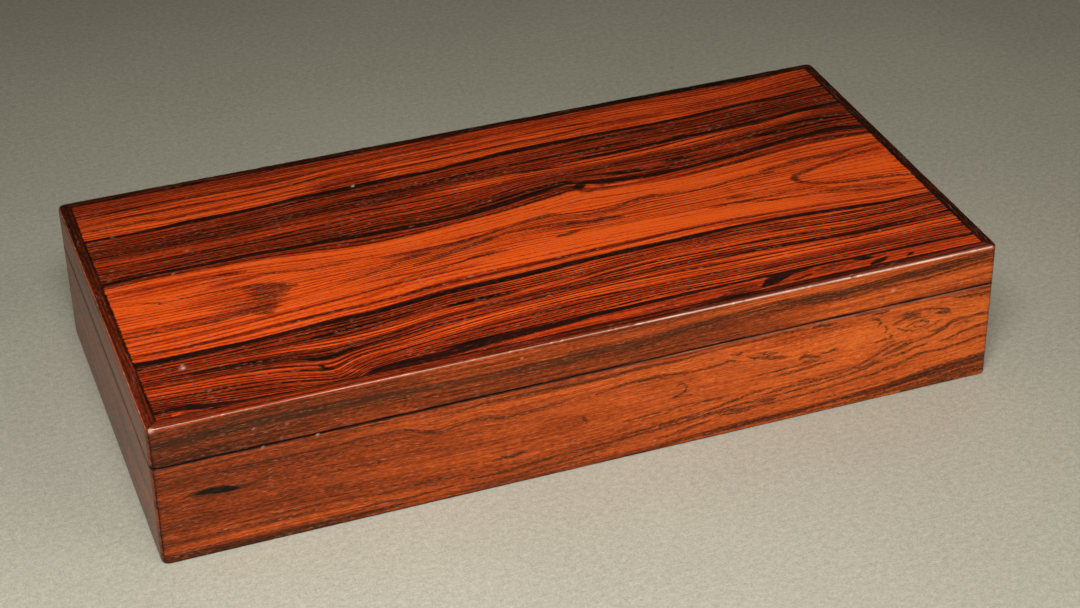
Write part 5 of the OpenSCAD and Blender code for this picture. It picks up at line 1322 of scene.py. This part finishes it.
def rope_ring():
    """Two-strand twisted cord, laid round the edge of the lid pad."""
    l, w, r, zc = IN_L - 1.2 - 2.6, IN_W - 1.2 - 2.6, 2.6, CEIL_Z - 1.2 - 1.3
    pts = []
    for (cx, cy, a0) in ((l / 2 - r, w / 2 - r, 0), (-l / 2 + r, w / 2 - r, 90), (-l / 2 + r, -w / 2 + r, 180), (l / 2 - r, -w / 2 + r, 270)):
        pts += arc_pts(cx, cy, r, a0, a0 + 90, 14)
    P = np.array(pts + [pts[0]])
    seg = np.hypot(*np.diff(P, axis=0).T)
    S = np.concatenate([[0], np.cumsum(seg)])
    turns = round(S[-1] / 4.6)
    n = turns * 12
    s = np.arange(n) / n * S[-1]
    cx, cy = np.interp(s, S, P[:, 0]), np.interp(s, S, P[:, 1])
    tx, ty = np.roll(cx, -1) - np.roll(cx, 1), np.roll(cy, -1) - np.roll(cy, 1)
    tl = np.hypot(tx, ty); tx, ty = tx / tl, ty / tl
    N1 = np.stack([-ty, tx, 0 * tx], 1); N2 = np.tile([0, 0, 1.0], (n, 1))
    C = np.stack([cx, cy, zc + 0 * cx], 1)
    verts, faces, tw = [], [], []
    m = 10
    for strand in range(2):
        ph = 2 * math.pi * turns * np.arange(n) / n + math.pi * strand
        off = .58
        cen = C + off * (np.cos(ph)[:, None] * N1 + np.sin(ph)[:, None] * N2)
        base = len(verts)
        for k in range(m):
            th = 2 * math.pi * k / m
            rr = .70
            verts_k = cen + rr * (math.cos(th) * N1 + math.sin(th) * N2)
            verts += verts_k.tolist()
            tw += [(float(a / 4.6 * 6.2832), th, strand) for a in s]
        for k in range(m):
            k2 = (k + 1) % m
            for i in range(n):
                i2 = (i + 1) % n
                faces.append((base + k * n + i, base + k2 * n + i, base + k2 * n + i2, base + k * n + i2))
    ob = make_object("lid_pad_cord_twisted", verts, faces, smooth_angle=80)
    recalc_normals(ob)
    put_vec(ob, "twist", np.array(tw))
    return ob


ob = rope_ring()
ob.data.materials.append(MAT_CORD)
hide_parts("lid_pad_cord"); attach(ob, "lid")

# ------------------------------------------------------------------ underside

def baize_material():
    n = Net("baize_green")
    p = n.obj()
    fib = n.noise(n.scale(p, (2600, 2600, 2600)), 1.0, 3.0, 0.65, 1.5)
    clump = n.noise(n.scale(p, (420, 420, 420)), 1.0, 4.0, 0.6)
    fade = n.noise(n.scale(p, (16, 20, 16)), 1.0, 4.0, 0.55)
    t = n.m("ADD", n.m("MULTIPLY", fib, .5), n.m("ADD", n.m("MULTIPLY", clump, .4), n.m("MULTIPLY", fade, .5)))
    col = n.mix(n.rng(t, .45, .95), (.0105, .040, .020), (.038, .105, .052))
    rub = n.rng(n.noise(n.scale(p, (48, 48, 48)), 1.0, 6.0, 0.68), .60, .74)
    col = n.mix(n.m("MULTIPLY", rub, .35), col, (.085, .125, .070))
    return n.finish(Base_Color=col, Roughness=0.95, Specular_IOR_Level=0.1, Sheen_Weight=0.45, Sheen_Roughness=0.6,
                    Sheen_Tint=(.5, .8, .6, 1.0), Normal=n.bump(n.m("ADD", fib, n.m("MULTIPLY", clump, .6)), 0.6, 0.00025))


def baize_height(X, Y, e):
    return .74 + (vnoise(X / 22, Y / 20, 91) - .5) * .06 + (vnoise(X / 4, Y / 4, 92) - .5) * .04 - .25 * np.exp(-e / .5)


ob = pad_mesh("base_baize_cloth", PL - .3, PW - .3, .6, 3.0, baize_height, 0.8, -1)
ob.data.materials.append(baize_material())
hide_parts("base_baize"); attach(ob, "base")


def softwood():
    n = Net("softwood")
    x, y, z = n.sep(n.obj())
    ring = n.wave(n.vec(n.m("MULTIPLY", x, 3.0), n.m("MULTIPLY", y, 120.0), n.m("MULTIPLY", z, 60.0)), 1.0, 5.0, "Y", 2.0, 0.5)
    fine = n.noise(n.vec(n.m("MULTIPLY", x, 60.0), n.m("MULTIPLY", y, 2200.0), n.m("MULTIPLY", z, 2200.0)), 1.0, 3.0, 0.6)
    t = n.m("ADD", n.m("MULTIPLY", ring, .5), n.m("MULTIPLY", fine, .5))
    col = n.mix(n.rng(t, .2, .85), (.300, .165, .075), (.560, .380, .210))
    return n.finish(Base_Color=col, Roughness=0.75, Specular_IOR_Level=0.25, Normal=n.bump(fine, 0.3, 0.0001))


def greyboard():
    n = Net("greyboard")
    p = n.obj()
    f1 = n.noise(n.scale(p, (900, 2600, 2600)), 1.0, 4.0, 0.65)
    f2 = n.noise(n.scale(p, (60, 60, 60)), 1.0, 4.0, 0.55)
    speck = n.rng(n.noise(n.scale(p, (3100, 3100, 3100)), 1.0, 1.0), .66, .74)
    col = n.mix(n.rng(n.m("ADD", n.m("MULTIPLY", f1, .6), n.m("MULTIPLY", f2, .4)), .3, .7), (.27, .225, .155), (.44, .385, .290))
    col = n.mix(n.m("MULTIPLY", speck, .6), col, (.10, .075, .05))
    return n.finish(Base_Color=col, Roughness=0.92, Specular_IOR_Level=0.15, Normal=n.bump(f1, 0.35, 0.00012))


def brass(name, dark, light, scratch_axis=0):
    n = Net(name)
    p = n.obj()
    x, y, z = n.sep(p)
    brush = n.noise(n.vec(n.m("MULTIPLY", x, 90.0), n.m("MULTIPLY", y, 5200.0), n.m("MULTIPLY", z, 5200.0)), 1.0, 2.0, 0.6)
    blot = n.noise(n.scale(p, (130, 210, 210)), 1.0, 5.0, 0.62)
    spots = n.rng(n.noise(n.scale(p, (900, 900, 900)), 1.0, 3.0, 0.6), .58, .72)
    col = n.mix(n.rng(blot, .36, .68), light, dark)
    col = n.mix(n.m("MULTIPLY", spots, .45), col, tuple(c * .35 for c in dark))
    col = n.mix(n.m("MULTIPLY", n.rng(brush, .55, .72), .35), col, tuple(min(1, c * 1.25) for c in light))
    rr = n.m("ADD", n.rng(blot, .34, .7, .22, .42), n.m("MULTIPLY", spots, .2), clamp=True)
    return n.finish(Base_Color=col, Metallic=1.0, Roughness=rr, Normal=n.bump(n.m("ADD", brush, n.m("MULTIPLY", spots, -.8)), 0.18, 0.00005))


MAT_BRASS = brass("brass_aged", (.330, .195, .070), (.720, .500, .205))
MAT_SCREW = brass("brass_screws", (.180, .100, .042), (.480, .310, .130))
MAT_SOFTWOOD, MAT_CARD = softwood(), greyboard()
for nname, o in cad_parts.items():
    if o.hide_render:
        continue
    metal = "hinge" in nname
    m = (MAT_SCREW if "screws" in nname or "pin" in nname else MAT_BRASS) if metal else MAT_SOFTWOOD if nname == "base_bottom_board" else MAT_CARD
    o.data.materials.clear()
    o.data.materials.append(m)
    if metal:
        bv = o.modifiers.new("arris", "BEVEL")
        bv.width = (0.06 if "screws" in nname else 0.14) * MM
        bv.segments = 2
        bv.limit_method = "ANGLE"; bv.angle_limit = math.radians(40)
        bv.harden_normals = False

# ------------------------------------------------------------------ floor, light, camera

def floor():
    n = Net("paper_floor")
    p = n.obj()
    g = n.noise(n.scale(p, (1500, 1500, 1)), 1.0, 2.0, 0.7)
    g2 = n.noise(n.scale(p, (420, 520, 1)), 1.0, 3.0, 0.7)
    g3 = n.noise(n.scale(p, (9, 9, 1)), 1.0, 3.0, 0.5)
    t = n.m("ADD", n.m("MULTIPLY", g, 0.48), n.m("ADD", n.m("MULTIPLY", g2, 0.40), n.m("MULTIPLY", g3, 0.12)))
    col = n.ramp(t, [(0.32, (.290, .289, .237)), (0.5, (.412, .402, .335)), (0.68, (.548, .535, .452))])
    # short pale and dark fibres in two directions
    for k, (ax, ay) in enumerate(((1500, 190), (210, 1400))):
        q = n.vec(n.m("MULTIPLY", n.sep(p)[0], float(ax)), n.m("MULTIPLY", n.sep(p)[1], float(ay)), 3.0 + k)
        f = n.noise(q, 1.0, 1.0, 0.4)
        col = n.mix(n.m("MULTIPLY", n.rng(f, .66, .74), .16), col, (.68, .665, .58))
        col = n.mix(n.m("MULTIPLY", n.rng(f, .34, .27), .18), col, (.20, .195, .15))
    mat = n.finish(Base_Color=col, Roughness=0.9, Specular_IOR_Level=0.15, Normal=n.bump(n.m("ADD", g, g2), 0.16, 0.0003))
    s = 4000.0
    ob = make_object("floor", [(-s, -s, -.02), (s, -s, -.02), (s, s, -.02), (-s, s, -.02)], [(0, 1, 2, 3)], smooth=False)
    ob.data.materials.append(mat)


floor()


def area(name, loc, aim, size, power, color=(1, 1, 1)):
    li = bpy.data.lights.new(name, "AREA")
    li.shape = "RECTANGLE"; li.size, li.size_y = size
    li.energy = power; li.color = color
    ob = bpy.data.objects.new(name, li)
    bpy.context.scene.collection.objects.link(ob)
    ob.location = loc
    ob.rotation_euler = (Vector(aim) - Vector(loc)).to_track_quat("-Z", "Y").to_euler()
    return ob


key = area("key", (-0.28, -0.64, 0.8), (-0.17, -0.34, 0.0), (0.46, 0.34), 3.25, (1.0, 0.975, 0.93))
key.data.spread = math.radians(78)
strip = area("strip", (0.5, -0.64, 0.78), (0.1, -0.08, 0.05), (0.66, 0.12), 0.34, (1.0, 0.86, 0.79))
side_light = area("side_light", (0.80, -0.72, 1.05), (0.10, -0.04, 0.0), (0.5, 0.5), 0.45, (1.0, 0.97, 0.90))
strip.data.spread = math.radians(70)

fill = area("fill", (-0.05, -0.10, 1.7), (-0.05, 0.0, 0.0), (1.2, 1.2), 1.10, (1.0, 0.97, 0.60))
rear = area("rear", (0.80, 0.70, 1.25), (0.02, 0.03, 0.03), (0.4, 0.4), 0.68, (1.0, 0.97, 0.84))

world = bpy.data.worlds.new("studio")
world.use_nodes = True
world.node_tree.nodes["Background"].inputs[0].default_value = (0.014, 0.0135, 0.008, 1)
world.node_tree.nodes["Background"].inputs[1].default_value = 1.0
bpy.context.scene.world = world

cam_d = bpy.data.cameras.new("camera")
cam_d.sensor_fit = "HORIZONTAL"
cam_d.sensor_width = 36.0
cam_d.lens = 2378.85 / 1080.0 * 36.0
cam_d.clip_start, cam_d.clip_end = 0.05, 50.0
cam = bpy.data.objects.new("camera", cam_d)
bpy.context.scene.collection.objects.link(cam)
right = Vector((0.9386750, -0.3443538, -0.0175999))
down = Vector((-0.1997280, -0.5014129, -0.8418396))
fwd = Vector((0.2810658, 0.7937289, -0.5394408))
rot = Matrix((right, -down, -fwd)).transposed()
cam.matrix_world = Matrix.Translation((-0.2387711, -0.6963213, 0.4918805)) @ rot.to_4x4()
bpy.context.scene.camera = cam
bpy.context.scene.view_settings.view_transform = "Standard"
